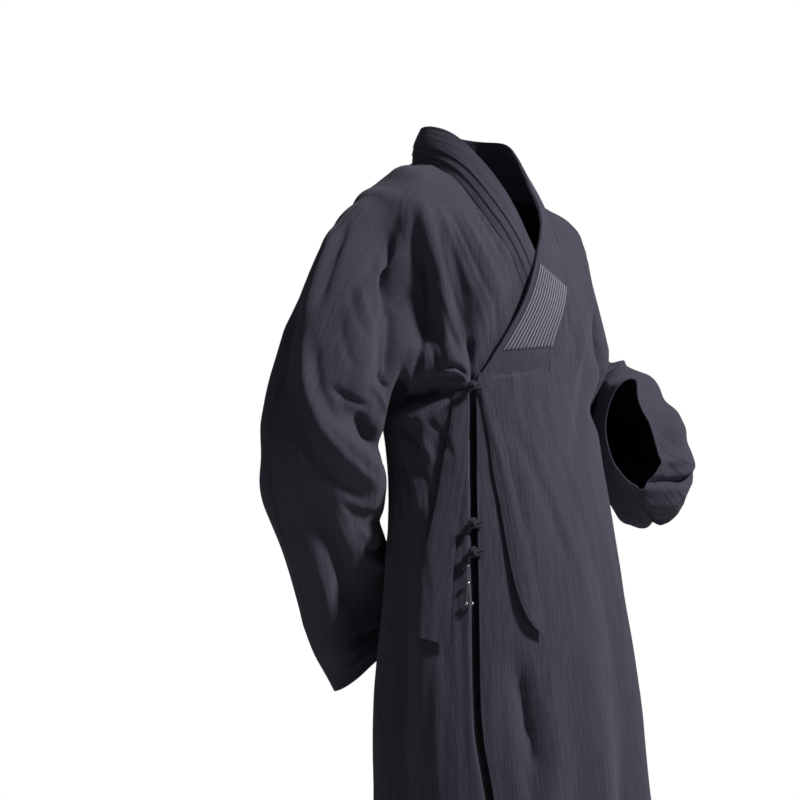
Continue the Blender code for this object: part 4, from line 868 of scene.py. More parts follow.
def ball(centre, radius, axes, rounds, sides):
    """Points, faces and (u, v) of a ball on three axes, whose poles lie along the last."""
    theta, phi = 2 * np.pi * np.arange(sides) / sides, np.pi * np.arange(1, rounds + 1) / (rounds + 1)
    skin = radius * directions(*np.meshgrid(theta, phi), axes)
    pole = radius * np.asarray(axes[2])
    return close_rounds(centre + skin, centre + pole, centre - pole, np.zeros(skin.shape[:2] + (2,)))


def close_rounds(rounds, top, bottom, uv):
    """Points, faces and (u, v) of a closed skin from rounds of points and the two poles."""
    rows, columns = rounds.shape[:2]
    points = np.concatenate([rounds.reshape(-1, 3), [top, bottom]])
    flat = np.concatenate([uv.reshape(-1, 2), [uv[0, 0], uv[-1, 0]]])
    index = np.arange(rows * columns).reshape(rows, columns)
    index = np.concatenate([index, index[:, :1]], axis=1)
    a, b, c, d = four_corners(index)
    faces = [np.stack([a, b, c], -1).reshape(-1, 3), np.stack([a, c, d], -1).reshape(-1, 3)]
    first = np.full(columns, rows * columns)
    faces.append(np.stack([index[0, 1:], index[0, :-1], first], -1))
    faces.append(np.stack([index[-1, :-1], index[-1, 1:], first + 1], -1))
    return points, faced_out(points, np.concatenate(faces)), flat


def join_parts(parts):
    """One set of points, faces and (u, v) from several."""
    points, faces, flats, base = [], [], [], 0
    for part_points, part_faces, part_uv in parts:
        points.append(part_points)
        faces.append(part_faces + base)
        flats.append(part_uv)
        base += len(part_points)
    return np.concatenate(points), np.concatenate(faces), np.concatenate(flats)


# ---------------------------------------------------------------- finishes

class Wire:
    """A socket of a finish's shader. Its operators add Math nodes, with numbers on either side."""

    def __init__(self, finish, socket):
        self.finish, self.socket = finish, socket

    def maths(self, operation, *values):
        return self.finish.node("ShaderNodeMath", {"operation": operation}, dict(enumerate(values)))

    def __add__(self, other):
        return self.maths("ADD", self, other)

    def __sub__(self, other):
        return self.maths("SUBTRACT", self, other)

    def __rsub__(self, other):
        return self.maths("SUBTRACT", other, self)

    def __mul__(self, other):
        return self.maths("MULTIPLY", self, other)

    def sine(self):
        return self.maths("SINE", self)

    __radd__, __rmul__ = __add__, __mul__


class Finish:
    """A material in the making: `node` adds any node, and `surface` sets the Principled shader."""

    def __init__(self, name, **uniform):
        self.material = bpy.data.materials.new(name)
        self.material.use_nodes = True
        self.tree = self.material.node_tree
        self.shader = self.tree.nodes["Principled BSDF"]
        self.surface(**{key.replace("_", " "): value for key, value in uniform.items()})

    def surface(self, **values):
        """Sets sockets of the Principled shader, each to a value or a wire."""
        for key, value in values.items():
            self.feed(self.shader.inputs[key], value)

    def feed(self, socket, value):
        if isinstance(value, Wire):
            self.tree.links.new(value.socket, socket)
        else:
            socket.default_value = value

    def node(self, kind, settings=None, inputs=None, output=0):
        """Adds a node: its settings first (a ramp's as `stops`), then the values or links of its
        sockets. Returns the wire of one of its outputs."""
        made = self.tree.nodes.new(kind)
        for key, value in (settings or {}).items():
            if key == "stops":
                while len(made.color_ramp.elements) < len(value):
                    made.color_ramp.elements.new(0.5)
                for element, (at, colour) in zip(made.color_ramp.elements, value):
                    element.position, element.color = at, (*colour, 1.0)
            else:
                setattr(made, key, value)
        for key, value in (inputs or {}).items():
            self.feed(made.inputs[key], value)
        return Wire(self, made.outputs[output])

    def cloth_uv(self):
        return self.node("ShaderNodeUVMap", {"uv_map": "cloth"})

    def parts(self, vector):
        """The first two parts of a vector."""
        across = self.node("ShaderNodeSeparateXYZ", {}, {0: vector})
        return across, Wire(self, across.socket.node.outputs[1])

    def scaled(self, vector, scale, shift=(0.0, 0.0, 0.0)):
        return self.node("ShaderNodeMapping", {}, {"Vector": vector, "Scale": scale, "Location": shift})

    def yarn(self, uv, scale, shift, detail, roughness):
        """Noise on the cloth's (u, v), `scale` times as fine across and along."""
        return self.noise(self.scaled(uv, (*scale, 1.0), (*shift, 0.0)), 1.0, detail, roughness)

    def noise(self, vector, scale, detail, roughness):
        sockets = {"Vector": vector, "Scale": scale, "Detail": detail, "Roughness": roughness}
        return self.node("ShaderNodeTexNoise", {}, sockets)

    def mixed(self, factor, first, second):
        sockets = {0: factor, 6: first, 7: second}
        return self.node("ShaderNodeMix", {"data_type": "RGBA"}, sockets, output=2)

    def bump(self, height, strength, distance, normal=None):
        sockets = {"Height": height, "Strength": strength, "Distance": distance}
        if normal is not None:
            sockets["Normal"] = normal
        return self.node("ShaderNodeBump", {}, sockets)


LINEN_DARK, LINEN_LIGHT = (0.054, 0.050, 0.074), (0.102, 0.096, 0.140)
WARP_PITCH, WEFT_PITCH, PLY_WIDTH = 0.00074, 0.00080, 0.0026


def linen_finish(name, weave=1.0):
    """Plain-woven linen on the cloth's own (u, v) in metres: slubbed threads along both ways, streaks
    where thick yarns lie side by side, fuzz that catches the light."""
    finish = Finish(name, Sheen_Weight=0.22, Sheen_Roughness=0.55, Specular_IOR_Level=0.22)
    finish.surface(**{"Sheen Tint": (0.75, 0.74, 0.85, 1.0)})
    uv = finish.cloth_uv()
    warp_slub = finish.yarn(uv, (900.0, 34.0), (0.0, 0.0), 3.0, 0.62)
    warp_streak = finish.yarn(uv, (430.0, 15.0), (7.3, 1.9), 2.0, 0.55)
    weft_slub = finish.yarn(uv, (30.0, 800.0), (3.1, 5.7), 3.0, 0.6)
    mottle = finish.yarn(uv, (60.0, 34.0), (1.7, 8.4), 4.0, 0.65)
    ripple = finish.yarn(uv, (150.0, 21.0), (4.1, 2.6), 4.0, 0.6)
    across, along = finish.parts(uv)
    warp = (across * (2 * np.pi / WARP_PITCH)).sine()
    weft = (along * (2 * np.pi / WEFT_PITCH)).sine()
    threads = warp * weft
    tone = warp_slub * 0.36 + warp_streak * 0.42 + weft_slub * 0.16 + mottle * 0.22 + threads * 0.02 - 0.08
    middle = tuple((dark + light) / 2 for dark, light in zip(LINEN_DARK, LINEN_LIGHT))
    stops = [(0.28, LINEN_DARK), (0.50, middle), (0.78, LINEN_LIGHT)]
    ramp = finish.node("ShaderNodeValToRGB", {"stops": stops}, {"Fac": tone})
    woven = finish.bump(threads * 0.5 + warp_slub * 0.7 + weft_slub * 0.4, 0.55 * weave, 0.0004)
    streaked = finish.bump(warp_streak, 0.5 * weave, 0.0014, woven)
    finish.surface(**{
        "Base Color": ramp,
        "Roughness": warp_streak * 0.16 + 0.80,
        "Normal": finish.bump(ripple, 0.7 * weave, 0.0027, streaked),
    })
    return finish.material


def thread_finish(name, dark, light, twist=0.0011, roughness=0.62):
    """Sewing thread or cord: plies that wind round it as sin(2 pi (v / twist + u / PLY_WIDTH)), with
    painted shade in the grooves between them, over a fuzz of random tone."""
    finish = Finish(name, Sheen_Weight=0.08, Sheen_Roughness=0.5, Specular_IOR_Level=0.25)
    uv = finish.cloth_uv()
    around, along = finish.parts(uv)
    plies = (along * (2 * np.pi / twist) + around * (2 * np.pi / PLY_WIDTH)).sine() * 0.5 + 0.5
    fuzz = finish.yarn(uv, (900.0, 300.0), (0.0, 0.0), 3.0, 0.6)
    # painted shade: the colour goes dark where the plies sink, in the grooves between them, and the fuzz
    # adds random tone
    ply_groove_shade_and_fuzz = plies * 0.7 + fuzz * 0.3
    ramp = finish.node("ShaderNodeValToRGB", {"stops": [(0.15, dark), (0.8, light)]}, {"Fac": ply_groove_shade_and_fuzz})
    finish.surface(**{
        "Base Color": ramp,
        "Roughness": fuzz * 0.2 + roughness,
        "Normal": finish.bump(plies + fuzz * 0.5, 0.6, 0.0004),
    })
    return finish.material


def silver_finish():
    """Small worn silver beads: bright metal with fine scuffs and darker hollows."""
    finish = Finish("bead_silver", Metallic=1.0)
    place_on = finish.node("ShaderNodeTexCoord", {}, {}, output=3)
    scuffs = finish.noise(place_on, 900.0, 4.0, 0.6)
    greys = [(0.3, (0.42, 0.42, 0.44)), (0.7, (0.86, 0.86, 0.88))]
    ramp = finish.node("ShaderNodeValToRGB", {"stops": greys}, {"Fac": scuffs})
    finish.surface(**{
        "Base Color": ramp, "Roughness": scuffs * 0.25 + 0.12, "Normal": finish.bump(scuffs, 0.3, 0.0002),
    })
    return finish.material


def floor_finish():
    """Pale matte studio floor with a faint unevenness."""
    finish = Finish("studio_floor", Specular_IOR_Level=0.2)
    cloudy = finish.noise(finish.node("ShaderNodeTexCoord", {}, {}, output=3), 1.4, 3.0, 0.5)
    tone = finish.mixed(cloudy, (0.60, 0.60, 0.61, 1.0), (0.66, 0.66, 0.67, 1.0))
    finish.surface(**{"Base Color": tone, "Roughness": cloudy * 0.1 + 0.8})
    return finish.material


# ---------------------------------------------------------------- the pieces

def wear(piece, *nodes, slot="linen"):
    """The piece rides on the robe's one body and takes the place of the solids named."""
    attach(piece, "root")
    if nodes:
        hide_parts(*nodes)
    return piece


def aligned(normals, outward):
    """The normals, turned over where they point against `outward`."""
    return normals * np.sign((normals * outward).sum(-1, keepdims=True))


def body_panel(name, grid, lift, finish):
    """A front or the back: the worn cloth over a grid of (turn, level)."""
    turn, level = grid
    outer = body_point(turn, level, lift(turn, level))
    normals = aligned(grid_normals(outer), body_outward(turn, level))
    return cloth(name, outer, normals, WALL, np.stack([turn * RADIUS, level], -1), finish)


def sleeve_relief(around, share, soft, sharp, seed):
    """Height of a sleeve's creases, folds and crinkle, none at the armhole."""
    soft, sharp = soft.copy(), sharp.copy()
    soft[:, [0, 2]] *= SLEEVE_GIRTH
    soft[:, [1, 3]] *= SLEEVE_LENGTH
    sharp[:, [0, 2, 4]] *= SLEEVE_GIRTH
    sharp[:, [1, 3, 5]] *= SLEEVE_LENGTH
    across, along = around * SLEEVE_GIRTH, share * SLEEVE_LENGTH
    total = crinkle(across, along, SLEEVE_GIRTH, seed)
    for circle in (-SLEEVE_GIRTH, 0.0, SLEEVE_GIRTH):
        total = total + creases(across + circle, along, soft) + folds(across + circle, along, sharp)
    return total * ease(share / 0.12) * (1 - 0.6 * ease((share - 0.86) / 0.14))


def sleeve_form(around, share, rings, edge):
    """Plain sleeve: centre + outer * cos + front * sin round its rings, with the armhole's edge at the
    body end."""
    row = smooth(share, rings[:, 0], rings[:, 1:])
    centre, outer, front = row[..., 0:3], row[..., 3:6], row[..., 6:9]
    angle = (2 * np.pi * around)[..., None]
    plain = centre + outer * np.cos(angle) + front * np.sin(angle)
    first = rings[0, 1:]
    start = first[0:3] + first[3:6] * np.cos(angle) + first[6:9] * np.sin(angle)
    return plain + (edge - start) * (1 - ease(share / 0.35))[..., None]


def sleeve_head(around, share, rings, side, edge):
    """Plain sleeve whose head leaves the shoulder in the body's own slope. Up to HEAD_SHARE each line
    down it is a cubic from the armhole, in the direction of the body's cloth there at the top and of
    the sleeve below, to the plain sleeve. Its upper front swells a little beside the seam."""
    plain = sleeve_form(around, share, rings, edge)
    rim, step = around[:1], 1e-3

    def rim_form(at):
        return sleeve_form(rim, np.full_like(rim, at), rings, edge[:1])
    turn, level = armhole(rim, side)
    middle = side * np.pi / 2, (SHOULDER_LEVEL + ARMPIT_LEVEL) / 2
    inside = body_point(mix(middle[0], turn, 1.15), mix(middle[1], level, 1.15))
    top = ease((np.cos(2 * np.pi * rim) + 0.35) / 1.1)[..., None]
    start = mix((rim_form(step) - edge[:1]) / step, unit(edge[:1] - inside) * 0.50, top)
    foot = rim_form(HEAD_SHARE)
    slope = (rim_form(HEAD_SHARE + step) - foot) / step
    t = (share / HEAD_SHARE)[..., None]
    head = hermite(t, HEAD_SHARE, edge, start, foot, slope)
    at, width, down, length, height, grown = HEAD_SWELL
    front = around - at
    swell = height * bell(front - np.round(front), width) * bell(share - down, length) * ease(share / grown)
    return np.where(t < 1, head + side * grid_normals(head, closed=True) * swell[..., None], plain)


def left_cuff_set(around, share):
    """How the left cuff hangs off its oval: bells round the sleeve that grow to the cuff, where the edge
    falls inward and down. They are its lip, the corner of its crease and its upper side."""
    inward, down = 0.0, 0.0
    for at, width, start, fall, lower in CUFF_FALLS:
        set_in = fall * bell(around - np.round(around) - at, width) * ease((share - start) / (1 - start))
        inward, down = inward + set_in, down + lower * set_in
    return np.stack([CUFF_INWARD[0] * inward, CUFF_INWARD[1] * inward, -down], -1)


def sleeve(name, rings, side, soft, sharp, seed, finish):
    """A sleeve: its plain form, moved out by the relief, with the left cuff's own hang."""
    columns = SLEEVE_AROUND * FINE
    around, share = np.meshgrid(np.arange(columns) / columns, np.linspace(0, 1, SLEEVE_RINGS * FINE + 1))
    edge = np.broadcast_to(body_point(*armhole(around[0], side)), around.shape + (3,))
    plain = sleeve_head(around, share, rings, side, edge)
    if side > 0:
        plain = plain + left_cuff_set(around, share)
    outward = side * grid_normals(plain, closed=True)
    outer = plain + outward * sleeve_relief(around, share, soft, sharp, seed)[..., None]
    normals = side * grid_normals(outer, closed=True)
    uv = np.stack([around * SLEEVE_GIRTH, share * SLEEVE_LENGTH], -1)
    return cloth(name, outer, normals, WALL, uv, finish, closed=True)


def collar_lines():
    """Seam points, their normals and free-edge points, from the over end round the nape to the under."""
    seam, normals, free = [], [], []
    for rows, edge, lift, side in (
        (OVER_SEAM, OVER_FREE, no_lift, 1), (UNDER_SEAM, UNDER_FREE, under_lift, -1),
    ):
        turn, level = seam_line(rows)
        points = body_point(turn, level, lift(turn, level))
        outward = body_outward(turn, level)
        edge_points = even_points(edge, NECK_ROWS * FINE + 1)
        edge_turn_at, edge_level = place(edge_points[:, 0], edge_points[:, 2])
        edge_points = edge_points + outward * lift(edge_turn_at, edge_level)[:, None]
        order = slice(None, None, -1) if side > 0 else slice(None)
        seam.append(points[order])
        normals.append(outward[order])
        free.append(edge_points[order])
    turn = np.linspace(np.pi / 2, 3 * np.pi / 2, NAPE_COLUMNS * FINE + 1)[1:-1]
    nape_free = np.stack([
        NAPE_HALF_WIDTH * np.sin(turn),
        mix(NAPE_SIDE_Y, NAPE_BACK_Y, -np.cos(turn)),
        NAPE_HEIGHT - NAPE_LEFT_DROP * ease(np.sin(turn)),
    ], -1)
    level = np.zeros(len(turn))
    seam.insert(1, body_point(turn, level))
    normals.insert(1, body_outward(turn, level))
    free.insert(1, nape_free)
    return np.concatenate(seam), np.concatenate(normals), np.concatenate(free)


COLLAR_SEAM, COLLAR_NORMALS, COLLAR_FREE = (soften(line, 40) for line in collar_lines())
COLLAR_SHARES = np.concatenate([
    [0, 0.02, 0.05, 0.09], np.linspace(0.14, 0.90, 18), [0.94, 0.965, 0.985, 1.0],
])


def ply_surface(step, station_share):
    """Outer points and normals of a collar ply. Across, the band is straight from the seam to the free
    edge and crowned by 4s(1 - s); each ply starts further in and lies a ply higher. The lowest ply turns
    in below the seam."""
    lowest = step == 0
    across = COLLAR_FREE - COLLAR_SEAM
    width = np.linalg.norm(across, axis=1)
    along = np.gradient(COLLAR_SEAM + COLLAR_FREE, axis=0)
    band = aligned(unit(np.cross(across, along)), COLLAR_NORMALS)
    station = np.arange(len(width)) / FINE
    narrower = mix(FLAT_STEP, COLLAR_STEP, ease((station - FLAT_END) / 2))
    start = (SEAM_GAP + step * narrower - lowest * NECK_ALLOWANCE) / width
    share = mix(start[:, None], 1, station_share)
    crown = COLLAR_CROWN * 4 * share * (1 - share)
    normals = unit(mix(COLLAR_NORMALS[:, None], band[:, None], ease(share / 0.25)[..., None]))
    uv = np.stack(np.broadcast_arrays(share * width[:, None], distances(COLLAR_SEAM)[:, None]), -1)
    ripple = 0.0005 * crumple(uv[..., 1], uv[..., 0], (0.030, 0.040), 71, 2.0)
    ripple += 0.0003 * crumple(uv[..., 1], uv[..., 0], (0.008, 0.050), 72, 2.0)
    foot = mix(0.45, 1, ease(station / 1.6))[:, None]
    turned_in = lowest * NECK_TURN_IN * ease((0.0008 - share * width[:, None]) / 0.0014)
    lift = (crown + step * (COLLAR_PLY + SEAM_GAP)) * foot + ripple - turned_in
    return COLLAR_SEAM[:, None] + across[:, None] * share[..., None] + normals * lift[..., None], normals, uv


def folded_cloth(name, outer, normals, ply, shares, radius, uv, finish):
    """A ply whose two long edges are folded: `ply` thick, and thinner within `radius` of them by a
    quarter circle, never under a fifth."""
    width = np.linalg.norm(outer[:, -1] - outer[:, 0], axis=1)[:, None]
    near = np.minimum(shares, 1 - shares)[None] * width
    full = np.maximum(np.sqrt(1 - (1 - np.clip(near / radius, 0, 1)) ** 2), 0.2)
    outer = outer - normals * (ply * (1 - full) / 2)[..., None]
    return cloth(name, outer, normals, ply * full, uv, finish), outer


def collar_ply(name, step, finish):
    """One of the collar's three plies, 0 to 2 from the lowest, with its long edges folded."""
    outer, normals, uv = ply_surface(step, COLLAR_SHARES)
    return folded_cloth(name, outer, normals, COLLAR_PLY, COLLAR_SHARES, COLLAR_PLY, uv, finish)[0]


def read_grid(grid, rows, columns):
    """The grid read at places between its rows and columns, straight from one to the next."""
    row = np.clip(np.floor(rows).astype(int), 0, grid.shape[0] - 2)
    column = np.clip(np.floor(columns).astype(int), 0, grid.shape[1] - 2)
    down, aside = (rows - row)[..., None], (columns - column)[..., None]
    upper = mix(grid[row, column], grid[row, column + 1], aside)
    return mix(upper, mix(grid[row + 1, column], grid[row + 1, column + 1], aside), down)


def patch_surface(side, down, lift):
    """Point of the quilted patch: `side` from its outer side (0) to the free edge's (1), `down` from its
    foot (0) to its head (1), on the top ply, raised by lift."""
    steps = 60
    points, normals, _ = ply_surface(2, np.linspace(0, 1, steps + 1))
    rows = mix(mix(*QUILT_FROM, side), mix(*QUILT_TO, side), down) * FINE
    columns = mix(*QUILT_SHARES, side) * steps
    outward = unit(read_grid(normals, rows, columns))
    return read_grid(points, rows, columns) + outward * np.asarray(lift)[..., None], outward


def quilting(cloth_finish, white):
    """The patch: a thin ply whose face swells between the rows, and rows of stitches along it."""
    side, down = np.meshgrid(np.linspace(0, 1, 6 * QUILT_COUNT + 1), np.linspace(0, 1, 90))
    swell = 0.0004 * np.abs(np.sin(np.pi * QUILT_COUNT * side + np.pi / 2))
    inside = ease(np.minimum(side, 1 - side) / 0.05) * ease(np.minimum(down, 1 - down) / 0.03)
    lift = 0.0005 + (0.0012 + swell) * inside
    points, outward = patch_surface(side, down, lift)
    uv = np.stack([side * PATCH_SIZE[0], down * PATCH_SIZE[1]], -1)
    patch = cloth("quilted_patch", points, outward, lift - 0.0002, uv, cloth_finish)
    at = np.linspace(0.006, 0.994, 150)
    lift = 0.0009 + 0.0010 * ease(np.minimum(at, 1 - at) / 0.03)
    parts = []
    for count in range(QUILT_COUNT):
        line, _ = patch_surface(np.full(len(at), (count + 0.5) / QUILT_COUNT), at, lift)
        swells = 0.86 + 0.14 * np.abs(np.sin(np.pi * at * 46 + count))
        parts.append(tube(line, QUILT_RADIUS, 6, swells))
    return patch, mesh_piece("quilting_rows", *join_parts(parts), white)


def stitches(line, outward, pitch=STITCH_PITCH):
    """A run of stitches along a line: each a spindle of three rounds, half sunk in the cloth."""
    distance = distances(line)
    starts = np.arange(0.001, distance[-1] - STITCH_LENGTH, pitch)
    at = starts[:, None] + np.array([0.0, 0.12, 0.5, 0.88, 1.0]) * STITCH_LENGTH
    path, out = (
        np.stack([np.interp(at, distance, rows[:, axis]) for axis in range(3)], -1)
        for rows in (line, outward)
    )
    out = unit(out)
    side = unit(np.cross(unit(path[:, -1:] - path[:, :1]) + 0 * path, out))
    path = path + out * (np.array([-1.2, 0.1, 0.5, 0.1, -1.2])[:, None] * STITCH_RADIUS)
    angle = (2 * np.pi * np.arange(5) / 5)[:, None]
    size = np.array([0.9, 1.0, 0.9])[None, :, None, None] * STITCH_RADIUS
    section = np.cos(angle) * side[:, 1:4, None] + np.sin(angle) * out[:, 1:4, None]
    rounds = path[:, 1:4, None] + size * section
    points = np.concatenate([rounds.reshape(len(starts), -1, 3), path[:, [0, 4]]], axis=1)
    _, faces, flat = close_rounds(rounds[0], path[0, 0], path[0, 4], np.zeros((3, 5, 2)))
    faces = (faces[None] + len(flat) * np.arange(len(starts))[:, None, None]).reshape(-1, 3)
    uv = np.zeros((*points.shape[:2], 2))
    uv[..., 1] = (points - points[:, :1]).sum(-1)
    return points.reshape(-1, 3), faces, uv.reshape(-1, 2)


def ribbon(name, table, lift_more, finish):
    """A tie: a strip laid on the body between its two edges, curled a little across, standing further
    off towards its foot, with folded edges."""
    down = np.linspace(0, 1, TIE_ROWS)
    turn, level, other_turn, other_level = smooth(down, np.linspace(0, 1, len(table)), table).T[..., None]
    across, down = np.meshgrid(TIE_SHARES, down)
    turns, levels = np.radians(mix(turn, other_turn, across)), mix(level, other_level, across)
    lift = mix(*TIE_LIFT, ease(down / 0.4)) + lift_more(down, across)
    worn, outward = body_point(turns, levels), body_outward(turns, levels)
    floor = soften(soften(worn, 6).swapaxes(0, 1), 30).swapaxes(0, 1)
    low = ((worn - floor) * outward).sum(-1)
    outer = floor + outward * (lift + np.maximum(low, 0))[..., None]
    width = np.linalg.norm(outer[:, -1] - outer[:, 0], axis=1)[:, None]
    middle = distances(outer[:, len(TIE_SHARES) // 2])
    uv = np.stack(np.broadcast_arrays(across * width, middle[:, None]), -1)
    normals = aligned(grid_normals(outer), outward)
    piece, outer = folded_cloth(name, outer, normals, RIBBON_WALL, TIE_SHARES, TIE_FOLD, uv, finish)
    return piece, outer, normals


def curl_right(down, across):
    """Lift of the right tie: crowned across, and waved more towards its foot."""
    return 0.0012 * np.sin(np.pi * across) + 0.0010 * np.sin(7 * down + 3 * across) * ease(down)


def curl_left(down, across):
    """Lift of the left tie: crowned across, close to the front above and turned up at its outer foot."""
    rise = 0.0035 * ease((down - 0.55) / 0.4) * (1 - across)
    return 0.0010 * np.sin(np.pi * across) + rise - 0.0042 * (ease(down / 0.4) - ease(down / 0.9))


def knot_place(turn, level):
    """Foot of a knot on the over front, and the directions out, along the cloth to the left and up."""
    foot, out = body_point(turn, level), body_outward(turn, level)
    left = body_point(turn + 0.01, level) - foot
    left = unit(left - out * (left * out).sum())
    return foot, out, left, np.cross(out, left)


def knot(name, turn, level, radius, finish):
    """A ball button of knotted cord: a three-lead, four-bight Turk's head wound over a ball. The cord
    turns three times round while it swings four times from pole to pole, and passes over and under by
    a ripple of its distance from the middle, over a plain core."""
    foot, out, left, up = knot_place(turn, level)
    centre, cord = foot + out * KNOT_LIFT, radius * KNOT_CORD
    at = np.linspace(0, 2 * np.pi, 241)
    reach = (radius - cord) * (1.0 + KNOT_RIPPLE * np.sin(8 * at))
    tilt = unit(out * 0.82 + up * 0.45 + left * 0.35)
    east = unit(np.cross(up, tilt))
    axes = east, np.cross(tilt, east), tilt
    line = centre + reach[:, None] * directions(3 * at, np.pi * (0.50 + 0.36 * np.cos(4 * at)), axes)
    stem = tube(np.linspace(centre - out * radius * 0.7, foot + out * 0.0004, 8), cord, 8)
    parts = [tube(line, cord, 9), ball(centre, KNOT_CORE * radius, axes, 11, 20), stem]
    return mesh_piece(name, *join_parts(parts), finish)


def cord_loop(name, turn, level, radius, finish):
    """A loop of cord round the back of a knot: its two ends lie side by side on the over front."""
    foot, out, left, up = knot_place(turn, level)
    swing = np.pi * (0.5 + np.linspace(0, 1, 14))
    reach = radius * LOOP_REACH
    line = foot + LOOP_LIFT * out + reach * (np.cos(swing)[:, None] * left + np.sin(swing)[:, None] * up)
    tails = [
        body_point(turn + LOOP_TAIL * share, level - sign * LOOP_APART, LOOP_LIFT)
        for share, sign in ((1.0, 1), (0.6, 1), (0.6, -1), (1.0, -1))
    ]
    line = even_points(np.concatenate([tails[:2], line, tails[2:]]), 60)
    return mesh_piece(name, *tube(soften(line, 4), LOOP_RADIUS, 10), finish)


def main():
    """Every piece of the robe, with the solids each takes the place of, and what each cloth is."""
    linen = linen_finish("robe_linen")
    collar_linen = linen_finish("collar_linen", weave=0.8)
    cord_linen = thread_finish("knot_cord", (0.030, 0.028, 0.040), (0.080, 0.075, 0.105), 0.0034, 0.8)
    white = thread_finish("quilting_thread", (0.24, 0.24, 0.28), (0.60, 0.60, 0.65), twist=0.0030)
    sewing = thread_finish("sewing_thread", (0.030, 0.029, 0.038), (0.085, 0.082, 0.102))
    pale_thread = thread_finish("bead_thread", (0.15, 0.15, 0.17), (0.36, 0.36, 0.39))

    over = wear(body_panel("over_front_cloth", front_grid(1), foot_tuck, linen), "left_front")
    under = wear(body_panel("under_front_cloth", front_grid(-1), under_lift, linen), "right_front")
    back = wear(body_panel("back_cloth", back_grid(), no_lift, linen), "back_left", "back_right")
    left = wear(
        sleeve("left_sleeve_cloth", LEFT_SLEEVE, 1, LEFT_SLEEVE_CREASES, LEFT_SLEEVE_FOLDS, 51, linen),
        "left_sleeve_upper", "left_sleeve_lower",
    )
    right = wear(
        sleeve("right_sleeve_cloth", RIGHT_SLEEVE, -1, RIGHT_SLEEVE_CREASES, RIGHT_SLEEVE_FOLDS, 61, linen),
        "right_sleeve_upper", "right_sleeve_lower",
    )
    plies = [
        wear(collar_ply(f"{node}_cloth", step, collar_linen), node)
        for step, node in enumerate(("collar_base", "collar_middle", "collar_top"))
    ]
    patch, rows = quilting(collar_linen, white)
    wear(patch, "collar_quilting")
    wear(rows, slot="quilting")

    right_tie, *right_strip = ribbon("right_tie_cloth", TIE_RIGHT, curl_right, linen)
    left_tie, *left_strip = ribbon("left_tie_cloth", TIE_LEFT, curl_left, linen)
    wear(right_tie, "tie_right")
    wear(left_tie, "tie_left")

    for count, ((turn, level), radius) in enumerate(zip(KNOTS, KNOT_RADII), 1):
        spot = (np.radians(turn), level, radius, cord_linen)
        wear(knot(f"knot_{count}_cord", *spot), f"knot_button_{count}")
        wear(cord_loop(f"loop_{count}_cord", *spot), f"button_loop_{count}")
    beads(silver_finish(), pale_thread)
    sew(sewing, right_strip, left_strip)


def beads(silver, thread):
    """Four small silver beads on threads that hang from the lowest knot."""
    centres = [body_point(np.radians(turn), level, BEAD_LIFT) for turn, level in BEADS]
    head = body_point(np.radians(BEAD_HEAD[0]), *BEAD_HEAD[1:])
    axes = np.diag([1.0, 1.0, BEAD_FLATNESS])
    parts = [ball(centre, BEAD_RADIUS, axes, 9, 16) for centre in centres]
    wear(mesh_piece("silver_beads", *join_parts(parts), silver))
    lines = [even_points(np.array([head, *centres[:2]]), 14)]
    lines += [np.linspace(centres[1], end, 10) for end in centres[2:]]
    wear(mesh_piece("bead_threads", *join_parts([tube(line, BEAD_THREAD, 6) for line in lines]), thread))


def sew(finish, right_strip, left_strip):
    """Top-stitching: beside the folded edges of the collar's plies, along the hem, the over front's edge
    and the ties, and a box at the head of the right tie."""
    parts = []
    for step in range(3):
        width = np.linalg.norm(COLLAR_FREE - COLLAR_SEAM, axis=1).mean()
        insets = COLLAR_INSETS[0] + (step == 0) * NECK_ALLOWANCE, width - COLLAR_INSETS[1]
        points, normals, _ = ply_surface(step, np.array(insets) / width)
        for column in range(1 + (step == 2)):
            parts.append(stitches(points[:, column], normals[:, column]))
    hems = (-38, 90, 260, no_lift), (-90, 35, 260, under_lift), (90, 270, 340, no_lift)
    runs = [
        (np.radians(np.linspace(start, end, count)), np.full(count, HEM_LEVEL - HEM_INSET), lift)
        for start, end, count, lift in hems
    ]
    level = np.linspace(ARMPIT_LEVEL, HEM_LEVEL - 0.004, 420)
    runs.append((edge_turn(OVER_EDGE, level) + EDGE_INSET / RADIUS, level, no_lift))
    for turn, level, lift in runs:
        parts.append(stitches(body_point(turn, level, lift(turn, level)), body_outward(turn, level)))
    for points, normals in (right_strip, left_strip):
        for column in (4, -5):
            parts.append(stitches(points[:-3, column], normals[:-3, column]))
    points, normals = right_strip
    box = [(8, 3), (8, -4), (20, -4), (20, 3), (8, 3)]
    for start, end in zip(box, box[1:]):
        line = np.linspace(points[start], points[end], 6)
        parts.append(stitches(line, np.repeat(normals[start][None], 6, axis=0), pitch=0.0032))
    wear(mesh_piece("top_stitching", *join_parts(parts), finish))


# ---------------------------------------------------------------- studio

LIT_PLACE, FLOOR_RADIUS, FLOOR_LEVEL = (0.0, 0.0, -0.35), 2.6, -1.43
CAMERA_PLACE, CAMERA_AZIMUTH, LENS = (-2.01186, -2.22807, -0.31), np.radians(-40.0), 103.05


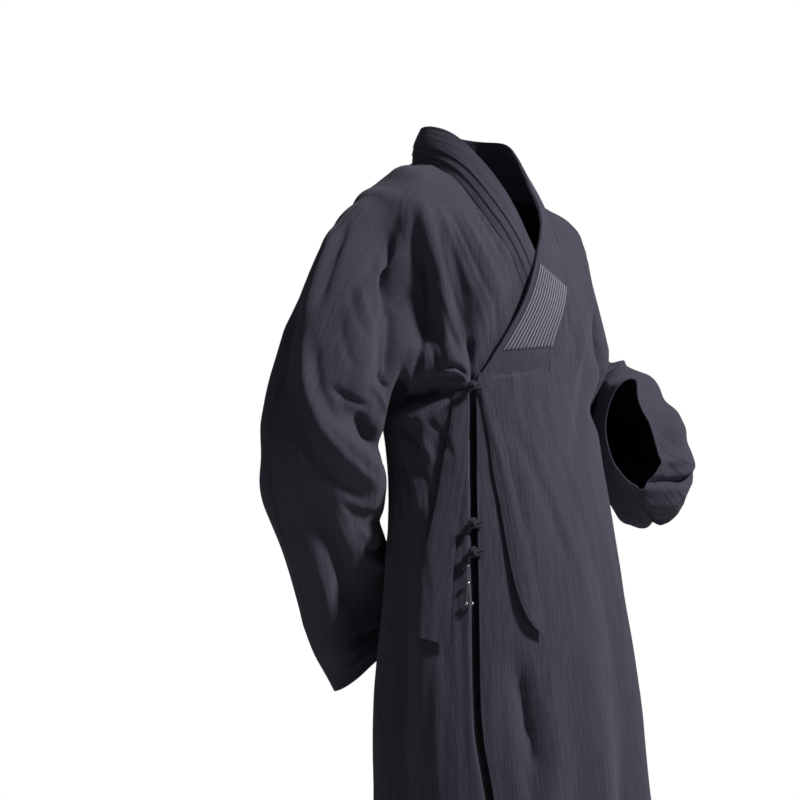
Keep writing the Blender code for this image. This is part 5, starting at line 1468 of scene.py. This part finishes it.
def studio():
    """A pale floor, a soft key high on the viewer's right, a weak fill from the left, and a camera level
    with the chest."""
    corners = np.arange(96)
    angle = 2 * np.pi * corners / len(corners)
    radius = FLOOR_RADIUS
    rim = np.stack([radius * np.cos(angle), radius * np.sin(angle), np.full(len(corners), FLOOR_LEVEL)], -1)
    floor = mesh_piece("floor", rim, corners[None], rim[:, :2], floor_finish())
    scene = bpy.context.scene
    scene.world = pale_world()
    add_light("key", (0.74, -2.03, 1.74), 75.5, 0.42, (1.0, 0.985, 0.97))
    add_light("fill", (-2.9, -0.9, 0.5), 1.2, 2.0, (0.95, 0.96, 1.0))
    camera_data = bpy.data.cameras.new("camera")
    camera_data.lens, camera_data.sensor_width = LENS, 36.0
    camera_data.clip_end = 50.0
    camera = bpy.data.objects.new("camera", camera_data)
    camera.location = CAMERA_PLACE
    camera.rotation_euler = (np.pi / 2, 0.0, CAMERA_AZIMUTH)
    scene.collection.objects.link(camera)
    scene.camera = camera
    scene.view_settings.view_transform = "Standard"


def pale_world():
    """A world that is seen white and lights the scene dimly."""
    world = bpy.data.worlds.new("studio")
    world.use_nodes = True
    nodes, links = world.node_tree.nodes, world.node_tree.links
    nodes.clear()
    mixed, path = nodes.new("ShaderNodeMixShader"), nodes.new("ShaderNodeLightPath")
    links.new(path.outputs["Is Camera Ray"], mixed.inputs[0])
    backgrounds = (((0.92, 0.93, 1.0, 1.0), 0.07), ((1.0, 1.0, 1.0, 1.0), 1.0))
    for socket, (colour, strength) in enumerate(backgrounds, 1):
        background = nodes.new("ShaderNodeBackground")
        background.inputs["Color"].default_value = colour
        background.inputs["Strength"].default_value = strength
        links.new(background.outputs[0], mixed.inputs[socket])
    links.new(mixed.outputs[0], nodes.new("ShaderNodeOutputWorld").inputs[0])
    return world


def add_light(name, place_at, power, size, colour):
    """A square lamp that faces LIT_PLACE."""
    data = bpy.data.lights.new(name, "AREA")
    data.energy, data.size, data.color = power, size, colour
    light = bpy.data.objects.new(name, data)
    light.location = place_at
    towards = np.array(LIT_PLACE) - np.array(place_at)
    pitch = np.arctan2(np.hypot(towards[0], towards[1]), -towards[2])
    light.rotation_euler = (pitch, 0.0, np.arctan2(-towards[0], towards[1]))
    bpy.context.scene.collection.objects.link(light)


main()
studio()
